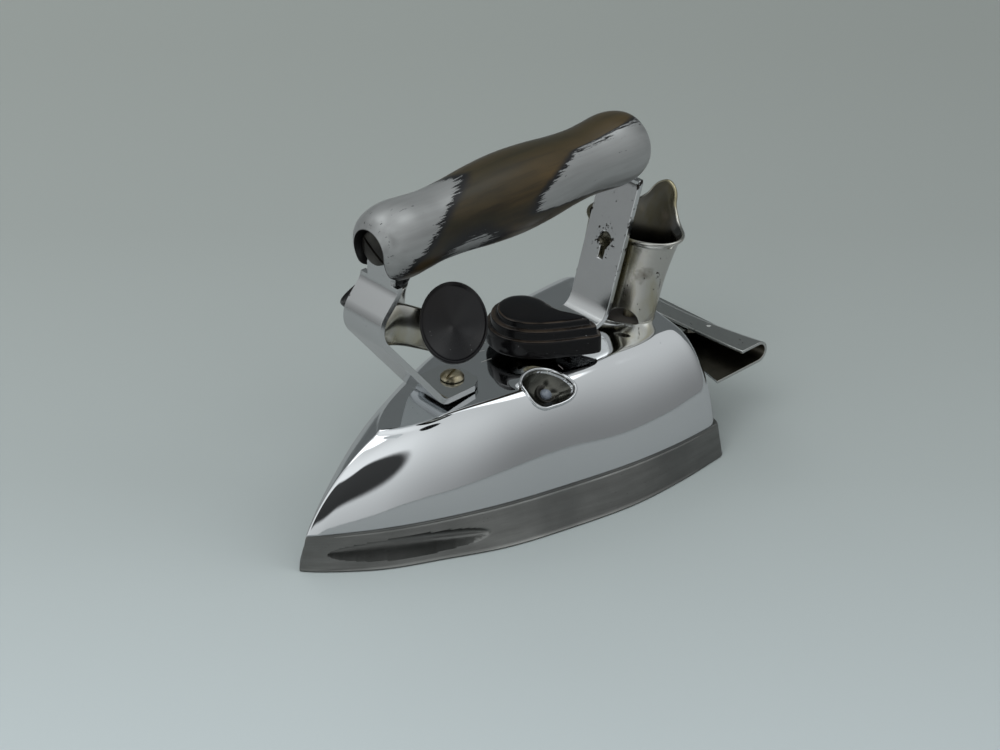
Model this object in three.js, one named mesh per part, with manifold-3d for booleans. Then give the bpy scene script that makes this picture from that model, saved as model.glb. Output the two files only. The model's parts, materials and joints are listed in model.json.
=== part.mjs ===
// Electric hand iron, built piece by piece.
// Millimetres, +Z up. The origin is the centre of the sole face, the nose points to -X.
// Port is the -Y side, starboard the +Y side.

import * as THREE from 'three';
import { mergeVertices } from 'three/addons/utils/BufferGeometryUtils.js';
import Module from 'manifold-3d';

const wasm = await Module();
wasm.setup();

// Clearances that every piece shares
const SEAT_GAP = 0.3;
const BORE_GAP = 0.3;
const OVERRUN = 2;

// Sole plate
const SOLE_LENGTH = 170;
const SOLE_WIDTH = 103;
const SOLE_THICKNESS = 13;
const SOLE_NOSE_RAKE = 3.4;
const SOLE_SIDE_FLARE = 4.5;
const SOLE_EDGE_ROUND = 0.8;
const HEEL_BOW = 7;
const NOOK_FROM_NOSE = 34;
const NOOK_OUT = 19.6;
const NOOK_LENGTH = 58;
const NOOK_HEIGHT = 6.2;
const NOOK_DEPTH = 4;
const NOOK_RISE = 6.2;
const NOOK_ANGLE = Math.PI / 6;

// Shell
const SHELL_WALL = 1.2;
const SHELL_HEEL_RAKE = 0.6;
const DECK_HEIGHT = 47.5;
const DECK_NOSE_DROP = 6;
const DECK_EASE_SHARE = 4.5;
const DECK_APEX_FROM_NOSE = 36;
const DECK_WIDTH = 57;
const DECK_HEEL_INSET = 7;
const DECK_HEEL_BOW = 3;
const SHOULDER_DROP = 1.1;
const SHOULDER_INSET = 3.6;
const LIP_HEIGHT = 2;
const LIP_FLARE = 3;

// Pilot lamp
const PILOT_FROM_NOSE = 96.5;
const PILOT_OUT = 25.5;
const PILOT_HEIGHT = 42.6;
const PILOT_POCKET_LENGTH = 25;
const PILOT_POCKET_WIDTH = 15;
const PILOT_POCKET_DEPTH = 5;
const PILOT_TILT = 0.9;
const LENS_RADIUS = 4;
const LENS_LENGTH = 6;
const LENS_FLANGE = 1.2;
const LENS_WALL = 1;
const BULB_RADIUS = 2.4;
const BULB_LENGTH = 8;
const SOCKET_RADIUS = 3.6;
const SOCKET_LENGTH = 6;
const SOCKET_WALL = 0.8;

// Heating element, mica sheet and clamp plate
const ELEMENT_RADIUS = 3.2;
const ELEMENT_SINK = 1;
const ELEMENT_TAIL_RISE = 11;
const SHEET_THICKNESS = 0.6;
const SHEET_INSET = 8;
const CLAMP_THICKNESS = 3;
const CLAMP_INSET = 11;

// Posts and foot screws
const POST_RADIUS = 4.5;
const POST_SPIGOT_RADIUS = 3;
const POST_SPIGOT_LENGTH = 6;
const POST_BORE_DEPTH = 16;
const FRONT_POST_FROM_NOSE = 72;
const REAR_POST_FROM_NOSE = 126;
const SCREW_SHANK_RADIUS = 2.2;
const SCREW_SHANK_LENGTH = 14;
const SCREW_HEAD_RADIUS = 4.3;
const SCREW_HEAD_HEIGHT = 2.2;
const SCREW_SLOT_WIDTH = 1.1;
const SCREW_SLOT_DEPTH = 1;

// Straps
const STRAP_WIDTH = 19;
const STRAP_THICKNESS = 2.2;
const STRAP_BEND = 3.2;
const FRONT_FOOT_LENGTH = 19;
const FRONT_FOOT_AHEAD = 12;
const FRONT_LEG_RUN = 27;
const FRONT_LEG_RISE = 30;
const FRONT_BULGE_RADIUS = 13;
const FRONT_RETURN_RUN = 7.8;
const FRONT_RETURN_RISE = 17;
const FOOT_CHAMFER = 4;
const REAR_STRAP_FROM_NOSE = 139.5;
const REAR_STRAP_LEAN = Math.tan(0.31);
const REAR_FOOT_LENGTH = 18;
const FLAT_HEAD_RADIUS = 4;
const FLAT_HEAD_HEIGHT = 1.8;
const TONGUE_WIDTH = 12;
const KEYHOLE_HEIGHT = 77;
const KEYHOLE_RADIUS = 3;
const KEYHOLE_SLOT_WIDTH = 2.5;
const KEYHOLE_SLOT_LENGTH = 6.5;

// Handle
const HANDLE_HEIGHT = 113;
const HANDLE_LENGTH = 127;
const HANDLE_RADIUS = 14.9;
const HANDLE_FRONT_FROM_NOSE = 35;
const NOTCH_RADIUS = 7.5;
const HANDLE_SCREW_LENGTH = 22;

// Thumb rests
const THUMB_FROM_NOSE = 56.7;
const THUMB_OUT = 18.6;
const THUMB_HEIGHT = 85.6;
const THUMB_HALF_LENGTH = 15.2;
const THUMB_HALF_WIDTH = 11.6;
const THUMB_DEPTH = 7;
const THUMB_DISH = 3;
const THUMB_SPIGOT_RADIUS = 2.4;
const THUMB_SPIGOT_LENGTH = 2.6;
const SADDLE_WAIST_RADIUS = 4.4;
const SADDLE_FLARE_RADIUS = 7.5;
const SADDLE_SPREAD = 5;
const SADDLE_NECK = 7;

// Dial and its spindle
const DIAL_FROM_NOSE = 112;
const DIAL_REACH = 24.4;
const DIAL_BAND_HEIGHT = 6.8;
const DIAL_STEP_HEIGHT = 2.6;
const DIAL_STEP_INSET = 1.6;
const DIAL_CROWN_HEIGHT = 2.2;
const DIAL_HEAD_SHARE = 0.38;
const DIAL_HEAD_BACK_SHARE = 0.2;
const DIAL_HEAD_SIDE_SHARE = 0.06;
const DIAL_LIFT = 0.7;
const SPINDLE_RADIUS = 3;
const SPINDLE_TIP_RADIUS = 4.5;
const SPINDLE_TIP_HEIGHT = 2.5;
const SPINDLE_SOCKET_DEPTH = 6;
const BUSHING_RADIUS = 5;
const BUSHING_FLANGE_RADIUS = 8;
const BUSHING_FLANGE_HEIGHT = 1.6;
const BUSHING_LENGTH = 8;

// Thermostat
const STACK_AHEAD = 24;
const INSULATOR_SIZE = 9;
const INSULATOR_HEIGHT = 2.2;
const BLADE_WIDTH = 7;
const BLADE_THICKNESS = 0.8;
const BLADE_LENGTH = 34;
const BRACKET_WIDTH = 12;
const BRACKET_THICKNESS = 1.4;
const CONTACT_RADIUS = 2;
const STACK_SCREW_RADIUS = 1.3;
const STACK_HEAD_RADIUS = 2.6;
const STACK_HEAD_HEIGHT = 1.4;

// Plug guard, terminal block and pins
const GUARD_FROM_NOSE = 152.6;
const GUARD_HALF_WIDTH = 19;
const GUARD_HALF_DEPTH = 10.6;
const GUARD_WALL = 1;
const GUARD_FLARE = 4.5;
const GUARD_FLARE_START = 60;
const GUARD_SIDE_FLARE_SHARE = 0.8;
const GUARD_FLARE_EASE_SHARE = 1.5;
const GUARD_TONGUE_SHARE = 0.6;
const GUARD_LIP_HEIGHT = 77;
const GUARD_TIP_HEIGHT = 89.4;
const GUARD_TONGUE_HALF_WIDTH = 14.5;
const GUARD_SINK = 8;
const GUARD_ARCH_RADIUS = 6;
const GUARD_ARCH_OUT = 13;
const BLOCK_HEIGHT = 8;
const PIN_RADIUS = 2.4;
const PIN_SPACING = 18;
const PIN_LENGTH = 32;
const PIN_RISE = 18;

// Heel rest and its bracket
const HEEL_HALF_WIDTH = 44;
const HEEL_SHEET = 1.2;
const HEEL_FLANGE_GAP = 6.4;
const HEEL_LOW = 28;
const HEEL_REACH = 187.5;
const HEEL_ROLL_RADIUS = 4;
const HEEL_UPPER_FRONT = 179.5;
const HEEL_LOWER_FRONT = 172;
const HEEL_HOLLOW = 4;
const NECK_HALF_WIDTH = 17;
const NECK_SHEET = 1.6;
const NECK_FRONT = 155;
const HEEL_POST_RADIUS = 3.5;
const HEEL_POST_OUT = 10;
const HEEL_POST_FROM_NOSE = 159;
const SMALL_SCREW_RADIUS = 1.6;
const SMALL_HEAD_RADIUS = 3;
const SMALL_HEAD_HEIGHT = 1.4;
const SMALL_SCREW_LENGTH = 8;
const RIVET_RADIUS = 1.5;
const RIVET_HEAD_RADIUS = 2.8;
const RIVET_HEAD_HEIGHT = 1.2;

// Bus wires
const WIRE_RADIUS = 0.9;

// Outline of the sole and of the deck, as shares of length from the nose and of half the width
const SOLE_OUTLINE_SHARES = [
  [0, 0], [0.031, 0.107], [0.135, 0.371], [0.258, 0.569], [0.387, 0.757],
  [0.534, 0.883], [0.7, 0.984], [0.847, 1], [1, 0.973],
];
const RIM_OUTLINE_SHARES = [
  [0, 0], [0.03, 0.075], [0.1475, 0.32], [0.2725, 0.52], [0.41, 0.69],
  [0.566, 0.83], [0.729, 0.947], [0.866, 0.996], [1, 1],
];
const DECK_OUTLINE_SHARES = [
  [0, 0], [0.04, 0.17], [0.1, 0.33], [0.22, 0.52], [0.36, 0.72],
  [0.55, 0.9], [0.74, 0.955], [0.88, 0.985], [1, 1],
];
const NOSE_BULGE_SHARE = 0.42;
const HEEL_BULGE_SHARE = 0.72;
const WALL_RING_SHARES = [0, 0.25, 0.5, 0.75, 1];
const HANDLE_PROFILE_SHARES = [
  [0.004, 0.5], [0.025, 0.74], [0.06, 0.87], [0.105, 0.915], [0.16, 0.88], [0.22, 0.845],
  [0.3, 0.875], [0.4, 0.96], [0.5, 1],
];
// Comma outline of the dial: turns of a circle from +X and shares of the tail's reach
const DIAL_OUTLINE_SHARES = [
  [-0.197, 1], [-0.236, 0.89], [-0.278, 0.787], [-0.347, 0.717], [-0.417, 0.717], [-0.5, 0.738],
  [-0.583, 0.73], [-0.667, 0.697], [-0.75, 0.623], [-0.833, 0.516], [-0.917, 0.422],
  [-1, 0.381], [-1.069, 0.393], [-1.125, 0.525], [-1.16, 0.8],
];
const ELEMENT_ROUTE_SHARES = [
  [0.78, 0.42], [0.66, 0.5], [0.5, 0.48], [0.36, 0.36], [0.26, 0.17],
];

// Counts
const SIDE_POINTS = 13;
const HEEL_POINTS = 5;
const ROUND_SIDES = 20;
const ELEMENT_STEPS = 34;
const ELEMENT_SIDES = 4;
const SMALL_SIDES = 10;
const DIAL_POINTS = 36;
const DIAL_STEPS = 3;
const BEND_STEPS = 4;
const WIRE_STEPS = 24;
const WIRE_SIDES = 3;
const GUARD_SIDES = 32;

// Places worked out from the sizes above
const NOSE_X = -SOLE_LENGTH / 2;
const RIM_TOP = SOLE_THICKNESS;
const SHELL_BASE = RIM_TOP + SEAT_GAP;
const SHEET_BASE = RIM_TOP - ELEMENT_SINK + ELEMENT_RADIUS + SEAT_GAP;
const CLAMP_BASE = SHEET_BASE + SHEET_THICKNESS + SEAT_GAP;
const CLAMP_TOP = CLAMP_BASE + CLAMP_THICKNESS;
const DIAL_X = NOSE_X + DIAL_FROM_NOSE;
const FRONT_POST_X = NOSE_X + FRONT_POST_FROM_NOSE;
const REAR_POST_X = NOSE_X + REAR_POST_FROM_NOSE;
const GUARD_X = NOSE_X + GUARD_FROM_NOSE;
const DECK_APEX_X = NOSE_X + DECK_APEX_FROM_NOSE;
const DECK_HEEL_X = SOLE_LENGTH / 2 - DECK_HEEL_INSET;
const upperSheetZ = HEEL_LOW + HEEL_FLANGE_GAP + HEEL_SHEET * 1.5;
const lowerSheetZ = HEEL_LOW + HEEL_SHEET / 2;
const neckTopZ = upperSheetZ - HEEL_SHEET / 2 - SEAT_GAP;
const neckBaseZ = neckTopZ - NECK_SHEET;

// Height of the deck's upper face above the sole face
function deckHeight(x) {
  const along = THREE.MathUtils.clamp((x - DECK_APEX_X) / (DECK_HEEL_X - DECK_APEX_X), 0, 1);
  return DECK_HEIGHT - DECK_NOSE_DROP * (1 - along) ** DECK_EASE_SHARE;
}

// Finish of each kind of material
const FINISH = {
  castMetal: { color: 0x8d8f90, roughness: 0.45, metalness: 0.9 },
  chrome: { color: 0xd9dcde, roughness: 0.08, metalness: 1 },
  wornChrome: { color: 0xb5afa0, roughness: 0.3, metalness: 0.95 },
  steel: { color: 0x8a8a86, roughness: 0.4, metalness: 0.9 },
  brass: { color: 0xb59a5a, roughness: 0.35, metalness: 0.95 },
  wood: { color: 0x8f8a80, roughness: 0.45, metalness: 0.1 },
  moulding: { color: 0x121112, roughness: 0.2, metalness: 0 },
  ceramic: { color: 0xd8d2c4, roughness: 0.6, metalness: 0 },
  mica: { color: 0xb7a98a, roughness: 0.4, metalness: 0 },
  glass: { color: 0xdfe4e2, roughness: 0.05, metalness: 0 },
  wire: { color: 0xa8a294, roughness: 0.5, metalness: 0.6 },
};

// Solids: closed geometry in, closed geometry out

function toSolid(geometry) {
  const bare = geometry.clone();
  bare.deleteAttribute('normal');
  bare.deleteAttribute('uv');
  const merged = mergeVertices(bare, 1e-4);
  return new wasm.Manifold(new wasm.Mesh({
    numProp: 3,
    vertProperties: new Float32Array(merged.attributes.position.array),
    triVerts: new Uint32Array(merged.index.array),
  }));
}

function toGeometry(solid) {
  const mesh = solid.getMesh();
  const geometry = new THREE.BufferGeometry();
  geometry.setAttribute('position', new THREE.BufferAttribute(mesh.vertProperties, 3));
  geometry.setIndex(new THREE.BufferAttribute(mesh.triVerts, 1));
  geometry.computeVertexNormals();
  return geometry;
}

function cut(body, ...tools) {
  return tools.reduce((rest, tool) => rest.subtract(toSolid(tool)), body);
}

function join(...pieces) {
  return pieces.map(toSolid).reduce((whole, piece) => whole.add(piece));
}

function box(lengthX, widthY, heightZ, x, y, z) {
  return new THREE.BoxGeometry(lengthX, widthY, heightZ).translate(x, y, z);
}

// Upright cylinder standing on z
function post(radius, height, x, y, z, sides = ROUND_SIDES) {
  return new THREE.CylinderGeometry(radius, radius, height, sides)
    .rotateX(Math.PI / 2)
    .translate(x, y, z + height / 2);
}

// Turned piece about the Z axis from [radius, height] points
function turned(points, sides = ROUND_SIDES) {
  const profile = points.map(([radius, height]) => new THREE.Vector2(radius, height));
  return new THREE.LatheGeometry(profile, sides).rotateX(Math.PI / 2);
}

// Solid between rings of equal length that each start at the nose and mirror about Y = 0
function loft(rings) {
  const count = rings[0].length;
  const positions = rings.flat().flatMap((point) => [point.x, point.y, point.z]);
  const index = [];
  for (let level = 0; level < rings.length - 1; level += 1) {
    for (let i = 0; i < count; i += 1) {
      const a = level * count + i;
      const b = level * count + ((i + 1) % count);
      index.push(a, b, b + count, a, b + count, a + count);
    }
  }
  const last = (rings.length - 1) * count;
  const half = count / 2;
  for (let i = 0; i < half; i += 1) {
    const ladder = [i, i + 1, count - i - 1, (count - i) % count];
    const [p, q, r, s] = ladder;
    if (i > 0) {
      index.push(p, s, q, last + p, last + q, last + s);
    }
    if (i < half - 1) {
      index.push(q, s, r, last + q, last + r, last + s);
    }
  }
  const geometry = new THREE.BufferGeometry();
  geometry.setAttribute('position', new THREE.Float32BufferAttribute(positions, 3));
  geometry.setIndex(index);
  return geometry;
}

// Plan outline from the nose along port, round the heel and back along starboard
function planOutline({ noseX, heelX, halfWidth, bow, shares }) {
  const cornerX = heelX - bow;
  const table = shares.map(([along, out]) => new THREE.Vector3(
    noseX + along * (cornerX - noseX), -halfWidth * out, 0));
  const curve = new THREE.CatmullRomCurve3(table, false, 'centripetal');
  const port = curve.getPoints(SIDE_POINTS);
  const corner = port[port.length - 1];
  const heel = [];
  for (let i = 1; i < HEEL_POINTS * 2; i += 1) {
    const across = i / HEEL_POINTS - 1;
    heel.push(new THREE.Vector3(cornerX + bow * (1 - across * across), -corner.y * across, 0));
  }
  const starboard = port.slice(1).reverse().map((point) => new THREE.Vector3(point.x, -point.y, 0));
  return [...port, ...heel, ...starboard];
}

function atHeight(outline, height) {
  return outline.map((point) => new THREE.Vector3(point.x, point.y, height));
}

function mixRings(from, to, share) {
  return from.map((point, i) => point.clone().lerp(to[i], share));
}

// Flat strip that follows a side-view path of [x, z] points, with round bends
function bentStrip(path, width, thickness, bendRadius) {
  const points = path.map(([x, z]) => new THREE.Vector2(x, z));
  const line = [points[0]];
  for (let i = 1; i < points.length - 1; i += 1) {
    const before = points[i - 1].clone().sub(points[i]).normalize();
    const after = points[i + 1].clone().sub(points[i]).normalize();
    const half = before.angleTo(after) / 2;
    const trim = bendRadius / Math.tan(half);
    const start = points[i].clone().addScaledVector(before, trim);
    const end = points[i].clone().addScaledVector(after, trim);
    const bend = new THREE.QuadraticBezierCurve(start, points[i], end);
    line.push(...bend.getPoints(BEND_STEPS));
  }
  line.push(points[points.length - 1]);
  const left = [];
  const right = [];
  line.forEach((point, i) => {
    const next = line[Math.min(i + 1, line.length - 1)];
    const previous = line[Math.max(i - 1, 0)];
    const along = next.clone().sub(previous).normalize();
    const side = new THREE.Vector2(-along.y, along.x).multiplyScalar(thickness / 2);
    left.push(point.clone().add(side));
    right.unshift(point.clone().sub(side));
  });
  const shape = new THREE.Shape([...left, ...right]);
  return new THREE.ExtrudeGeometry(shape, { depth: width, bevelEnabled: false })
    .rotateX(Math.PI / 2)
    .translate(0, width / 2, 0);
}

// Tube along a smooth curve
function tube(points, radius, steps, sides) {
  const circle = new THREE.Shape().absarc(0, 0, radius, 0, Math.PI * 2);
  return new THREE.ExtrudeGeometry(circle, {
    steps,
    curveSegments: sides,
    extrudePath: new THREE.CatmullRomCurve3(points),
  });
}

// Slotted screw with its head's seat at z = 0 and its shank downwards
function screw(shankRadius, shankLength, headRadius, headHeight) {
  const head = turned([
    [0, -shankLength], [shankRadius, -shankLength], [shankRadius, 0], [headRadius, 0],
    [headRadius, headHeight / 2], [headRadius * 0.75, headHeight * 0.85], [0, headHeight],
  ], SMALL_SIDES);
  const slot = box(headRadius * 2 + OVERRUN, SCREW_SLOT_WIDTH, SCREW_SLOT_DEPTH * 2, 0, 0, headHeight);
  return toGeometry(cut(toSolid(head), slot));
}

// Scene graph

const group = new THREE.Group();

function add(name, geometry, finish, parent = group) {
  const mesh = new THREE.Mesh(geometry, new THREE.MeshStandardMaterial(finish));
  mesh.name = name;
  parent.add(mesh);
  return mesh;
}

// Sole plate with its nooks, element groove and post seats

const elementZ = RIM_TOP - ELEMENT_SINK;

function elementRoute(startHeight) {
  const side = ELEMENT_ROUTE_SHARES.map(([along, out]) => new THREE.Vector3(
    NOSE_X + along * SOLE_LENGTH, -out * SOLE_WIDTH / 2, elementZ));
  const [tail, second] = side;
  const rise = tail.clone().sub(second).setLength(ELEMENT_TAIL_RISE / 2);
  const port = [tail.clone().add(rise).setZ(elementZ + startHeight), tail, ...side.slice(1)];
  const nose = new THREE.Vector3(side[side.length - 1].x - ELEMENT_RADIUS * 2, 0, elementZ);
  const starboard = port.map((point) => new THREE.Vector3(point.x, -point.y, point.z)).reverse();
  return [...port, nose, ...starboard];
}

function soleOutlines() {
  const base = {
    noseX: NOSE_X,
    heelX: SOLE_LENGTH / 2,
    halfWidth: SOLE_WIDTH / 2,
    bow: HEEL_BOW,
    shares: SOLE_OUTLINE_SHARES,
  };
  const rim = {
    ...base,
    noseX: NOSE_X + SOLE_NOSE_RAKE,
    halfWidth: SOLE_WIDTH / 2 - SOLE_SIDE_FLARE,
    shares: RIM_OUTLINE_SHARES,
  };
  return { face: planOutline(base), rim: planOutline(rim) };
}

function nook(side) {
  return new THREE.SphereGeometry(1, ROUND_SIDES, SMALL_SIDES)
    .scale(NOOK_LENGTH / 2, NOOK_DEPTH, NOOK_HEIGHT / 2)
    .rotateZ(side * NOOK_ANGLE)
    .translate(NOSE_X + NOOK_FROM_NOSE, side * NOOK_OUT, NOOK_RISE);
}

function solePlate() {
  const { face, rim } = soleOutlines();
  const low = atHeight(face, 0);
  const high = atHeight(rim, RIM_TOP);
  const pull = 1 - SOLE_EDGE_ROUND / SOLE_WIDTH * 2;
  const tuck = (ring) => ring.map((point) => new THREE.Vector3(point.x * pull, point.y * pull, point.z));
  const rings = [
    tuck(low),
    atHeight(mixRings(low, high, SOLE_EDGE_ROUND / RIM_TOP), SOLE_EDGE_ROUND),
    atHeight(mixRings(low, high, 1 - SOLE_EDGE_ROUND / RIM_TOP), RIM_TOP - SOLE_EDGE_ROUND),
    tuck(high),
  ];
  const groove = tube(elementRoute(ELEMENT_TAIL_RISE), ELEMENT_RADIUS + BORE_GAP, ELEMENT_STEPS, ELEMENT_SIDES);
  const groovePlug = elementRoute(ELEMENT_TAIL_RISE).map((point) => point.clone().setZ(point.z + ELEMENT_SINK));
  const opening = tube(groovePlug, ELEMENT_RADIUS + BORE_GAP, ELEMENT_STEPS, ELEMENT_SIDES);
  const seats = [FRONT_POST_X, REAR_POST_X].map((x) => post(
    POST_SPIGOT_RADIUS + BORE_GAP, POST_SPIGOT_LENGTH + OVERRUN, x, 0, RIM_TOP - POST_SPIGOT_LENGTH));
  return toGeometry(cut(toSolid(loft(rings)), nook(-1), nook(1), groove, opening, ...seats));
}

add('sole_plate', solePlate(), FINISH.castMetal);

// Heating element, mica sheet and clamp plate

add('heating_element', tube(elementRoute(ELEMENT_TAIL_RISE), ELEMENT_RADIUS, ELEMENT_STEPS, ELEMENT_SIDES),
  FINISH.steel);

const TAIL_X = NOSE_X + ELEMENT_ROUTE_SHARES[0][0] * SOLE_LENGTH;
const TAIL_Y = ELEMENT_ROUTE_SHARES[0][1] * SOLE_WIDTH / 2;
const INNER_FRONT_SHARE = 0.24;

// Flat sheet of the shell's plan, drawn in from the rim
function innerSheet(inset, thickness, base) {
  const outline = planOutline({
    noseX: NOSE_X + INNER_FRONT_SHARE * SOLE_LENGTH / 2 + inset,
    heelX: TAIL_X - ELEMENT_RADIUS,
    halfWidth: SOLE_WIDTH / 2 - SOLE_SIDE_FLARE - inset - SHELL_WALL * 2,
    bow: HEEL_BOW / 2,
    shares: RIM_OUTLINE_SHARES,
  });
  const sheet = loft([atHeight(outline, base), atHeight(outline, base + thickness)]);
  const holes = [FRONT_POST_X, REAR_POST_X].map((x) => post(
    POST_RADIUS + BORE_GAP, thickness + OVERRUN * 2, x, 0, base - OVERRUN));
  return toGeometry(cut(toSolid(sheet), ...holes));
}

add('mica_sheet', innerSheet(SHEET_INSET, SHEET_THICKNESS, SHEET_BASE), FINISH.mica);
add('clamp_plate', innerSheet(CLAMP_INSET, CLAMP_THICKNESS, CLAMP_BASE), FINISH.steel);

// Posts that stand in the sole plate and take the strap screws

function screwPost(x) {
  const top = deckHeight(x) - SHELL_WALL - SEAT_GAP * 2;
  const base = RIM_TOP + SEAT_GAP;
  const spigotEnd = RIM_TOP - POST_SPIGOT_LENGTH + SEAT_GAP;
  const boreRadius = SCREW_SHANK_RADIUS + BORE_GAP;
  return turned([
    [0, spigotEnd], [POST_SPIGOT_RADIUS, spigotEnd], [POST_SPIGOT_RADIUS, base], [POST_RADIUS, base],
    [POST_RADIUS, top], [boreRadius, top], [boreRadius, top - POST_BORE_DEPTH], [0, top - POST_BORE_DEPTH],
  ], SMALL_SIDES).translate(x, 0, 0);
}

add('front_post', screwPost(FRONT_POST_X), FINISH.steel);
add('rear_post', screwPost(REAR_POST_X), FINISH.steel);

// Shell

const pilotX = NOSE_X + PILOT_FROM_NOSE;

// Rings of the shell's wall and deck, drawn in by the given offset
function shellRings(offset, base) {
  const rim = planOutline({
    noseX: NOSE_X + SOLE_NOSE_RAKE + offset * 2,
    heelX: SOLE_LENGTH / 2 - SHELL_HEEL_RAKE - offset,
    halfWidth: SOLE_WIDTH / 2 - SOLE_SIDE_FLARE - offset,
    bow: HEEL_BOW,
    shares: RIM_OUTLINE_SHARES,
  });
  const deck = planOutline({
    noseX: DECK_APEX_X + offset,
    heelX: DECK_HEEL_X - offset,
    halfWidth: DECK_WIDTH / 2 - offset,
    bow: DECK_HEEL_BOW,
    shares: DECK_OUTLINE_SHARES,
  });
  const rings = WALL_RING_SHARES.map((share) => rim.map((low, i) => {
    const high = deck[i];
    const along = (low.x - NOSE_X) / SOLE_LENGTH;
    const bulge = THREE.MathUtils.lerp(NOSE_BULGE_SHARE, HEEL_BULGE_SHARE, along);
    const turn = share * Math.PI / 2;
    const inward = THREE.MathUtils.lerp(share, 1 - Math.cos(turn), bulge);
    const upward = THREE.MathUtils.lerp(share, Math.sin(turn), bulge);
    const top = deckHeight(high.x) - SHOULDER_DROP - offset;
    return new THREE.Vector3(
      THREE.MathUtils.lerp(low.x, high.x, inward),
      THREE.MathUtils.lerp(low.y, high.y, inward),
      THREE.MathUtils.lerp(base, top, upward));
  }));
  const shrink = 1 - SHOULDER_INSET / (DECK_WIDTH / 2);
  const middleX = (DECK_APEX_X + DECK_HEEL_X) / 2;
  const crown = deck.map((point) => {
    const x = middleX + (point.x - middleX) * (1 - SHOULDER_INSET / (DECK_HEEL_X - DECK_APEX_X));
    return new THREE.Vector3(x, point.y * shrink, deckHeight(x) - offset);
  });
  return [...rings, crown];
}

// Ellipse across the plug guard at a height, leaning back with the rear strap.
// Its flare grows to the sides and the rear and leaves the front where it is.
function guardEllipse(height, grow, flare = 0) {
  const centreX = GUARD_X + (height - DECK_HEIGHT) * REAR_STRAP_LEAN + flare / 2;
  const ring = [];
  for (let i = 0; i < GUARD_SIDES; i += 1) {
    const turn = Math.PI + i / GUARD_SIDES * Math.PI * 2;
    ring.push(new THREE.Vector3(
      centreX + (GUARD_HALF_DEPTH + grow + flare / 2) * Math.cos(turn),
      (GUARD_HALF_WIDTH + grow + flare * GUARD_SIDE_FLARE_SHARE) * Math.sin(turn),
      height));
  }
  return ring;
}

// Frame of the pilot lamp: the pocket faces out and up from the port shoulder
const pilotFrame = new THREE.Matrix4()
  .makeTranslation(pilotX, -PILOT_OUT, PILOT_HEIGHT)
  .multiply(new THREE.Matrix4().makeRotationX(PILOT_TILT));

function shell() {
  const outer = toSolid(loft(shellRings(0, SHELL_BASE)));
  const lip = toSolid(loft([
    guardEllipse(DECK_HEIGHT - SHELL_WALL, LIP_FLARE + GUARD_WALL),
    guardEllipse(DECK_HEIGHT + LIP_HEIGHT, GUARD_WALL + SEAT_GAP * 2),
  ]));
  const boss = toSolid(new THREE.SphereGeometry(1, ROUND_SIDES, SMALL_SIDES)
    .scale(PILOT_POCKET_LENGTH / 2, PILOT_POCKET_WIDTH / 2, PILOT_POCKET_DEPTH)
    .applyMatrix4(pilotFrame));
  const pocket = new THREE.SphereGeometry(1, ROUND_SIDES, SMALL_SIDES)
    .scale(PILOT_POCKET_LENGTH / 2 - SHELL_WALL, PILOT_POCKET_WIDTH / 2 - SHELL_WALL,
      PILOT_POCKET_DEPTH - SHELL_WALL)
    .translate(0, 0, SHELL_WALL * 2)
    .applyMatrix4(pilotFrame);
  const lensHole = post(LENS_RADIUS + BORE_GAP, PILOT_POCKET_DEPTH * 4, 0, 0, -PILOT_POCKET_DEPTH * 3)
    .applyMatrix4(pilotFrame);
  const hollow = shellRings(SHELL_WALL, SHELL_BASE);
  const below = atHeight(hollow[0], SHELL_BASE - OVERRUN);
  const inside = loft([below, ...hollow]);
  const guardOpening = loft([
    guardEllipse(DECK_HEIGHT - GUARD_SINK * 2, SEAT_GAP),
    guardEllipse(DECK_HEIGHT + LIP_HEIGHT + OVERRUN, SEAT_GAP),
  ]);
  const neckSlot = box(SOLE_LENGTH, NECK_HALF_WIDTH * 2 + SEAT_GAP * 2, NECK_SHEET + SEAT_GAP * 2,
    NOSE_X + NECK_FRONT + SOLE_LENGTH / 2, 0, (neckTopZ + neckBaseZ) / 2);
  const screwHoles = [FRONT_POST_X, REAR_POST_X].map((x) => post(
    SCREW_SHANK_RADIUS + BORE_GAP, DECK_HEIGHT, x, 0, CLAMP_TOP));
  const bushHole = post(BUSHING_RADIUS + BORE_GAP, DECK_HEIGHT, DIAL_X, 0, CLAMP_TOP);
  return toGeometry(cut(outer.add(lip).add(boss), inside, guardOpening, neckSlot, pocket, lensHole,
    ...screwHoles, bushHole));
}

add('shell', shell(), FINISH.chrome);

// Pilot lamp: lens, bulb and socket in line behind the pocket

const pilot = new THREE.Group();
pilot.applyMatrix4(pilotFrame);
group.add(pilot);

const lensBack = -PILOT_POCKET_DEPTH - LENS_FLANGE - SEAT_GAP;
add('pilot_lens', turned([
  [0, lensBack + LENS_LENGTH - LENS_WALL * 2], [LENS_RADIUS - LENS_WALL, lensBack + LENS_LENGTH / 2],
  [LENS_RADIUS - LENS_WALL, lensBack], [LENS_RADIUS + LENS_WALL, lensBack],
  [LENS_RADIUS + LENS_WALL, lensBack + LENS_FLANGE], [LENS_RADIUS, lensBack + LENS_FLANGE],
  [LENS_RADIUS, lensBack + LENS_LENGTH - LENS_WALL], [LENS_RADIUS / 2, lensBack + LENS_LENGTH],
  [0, lensBack + LENS_LENGTH + LENS_WALL / 2],
], SMALL_SIDES), FINISH.glass, pilot);

const bulbTop = lensBack + LENS_LENGTH / 2 - SEAT_GAP;
const bulbBase = bulbTop - BULB_LENGTH;
add('pilot_bulb', turned([
  [0, bulbBase], [BULB_RADIUS, bulbBase], [BULB_RADIUS, bulbTop - BULB_RADIUS],
  [BULB_RADIUS * 0.7, bulbTop - BULB_RADIUS * 0.3], [0, bulbTop],
], SMALL_SIDES), FINISH.glass, pilot);

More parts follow.
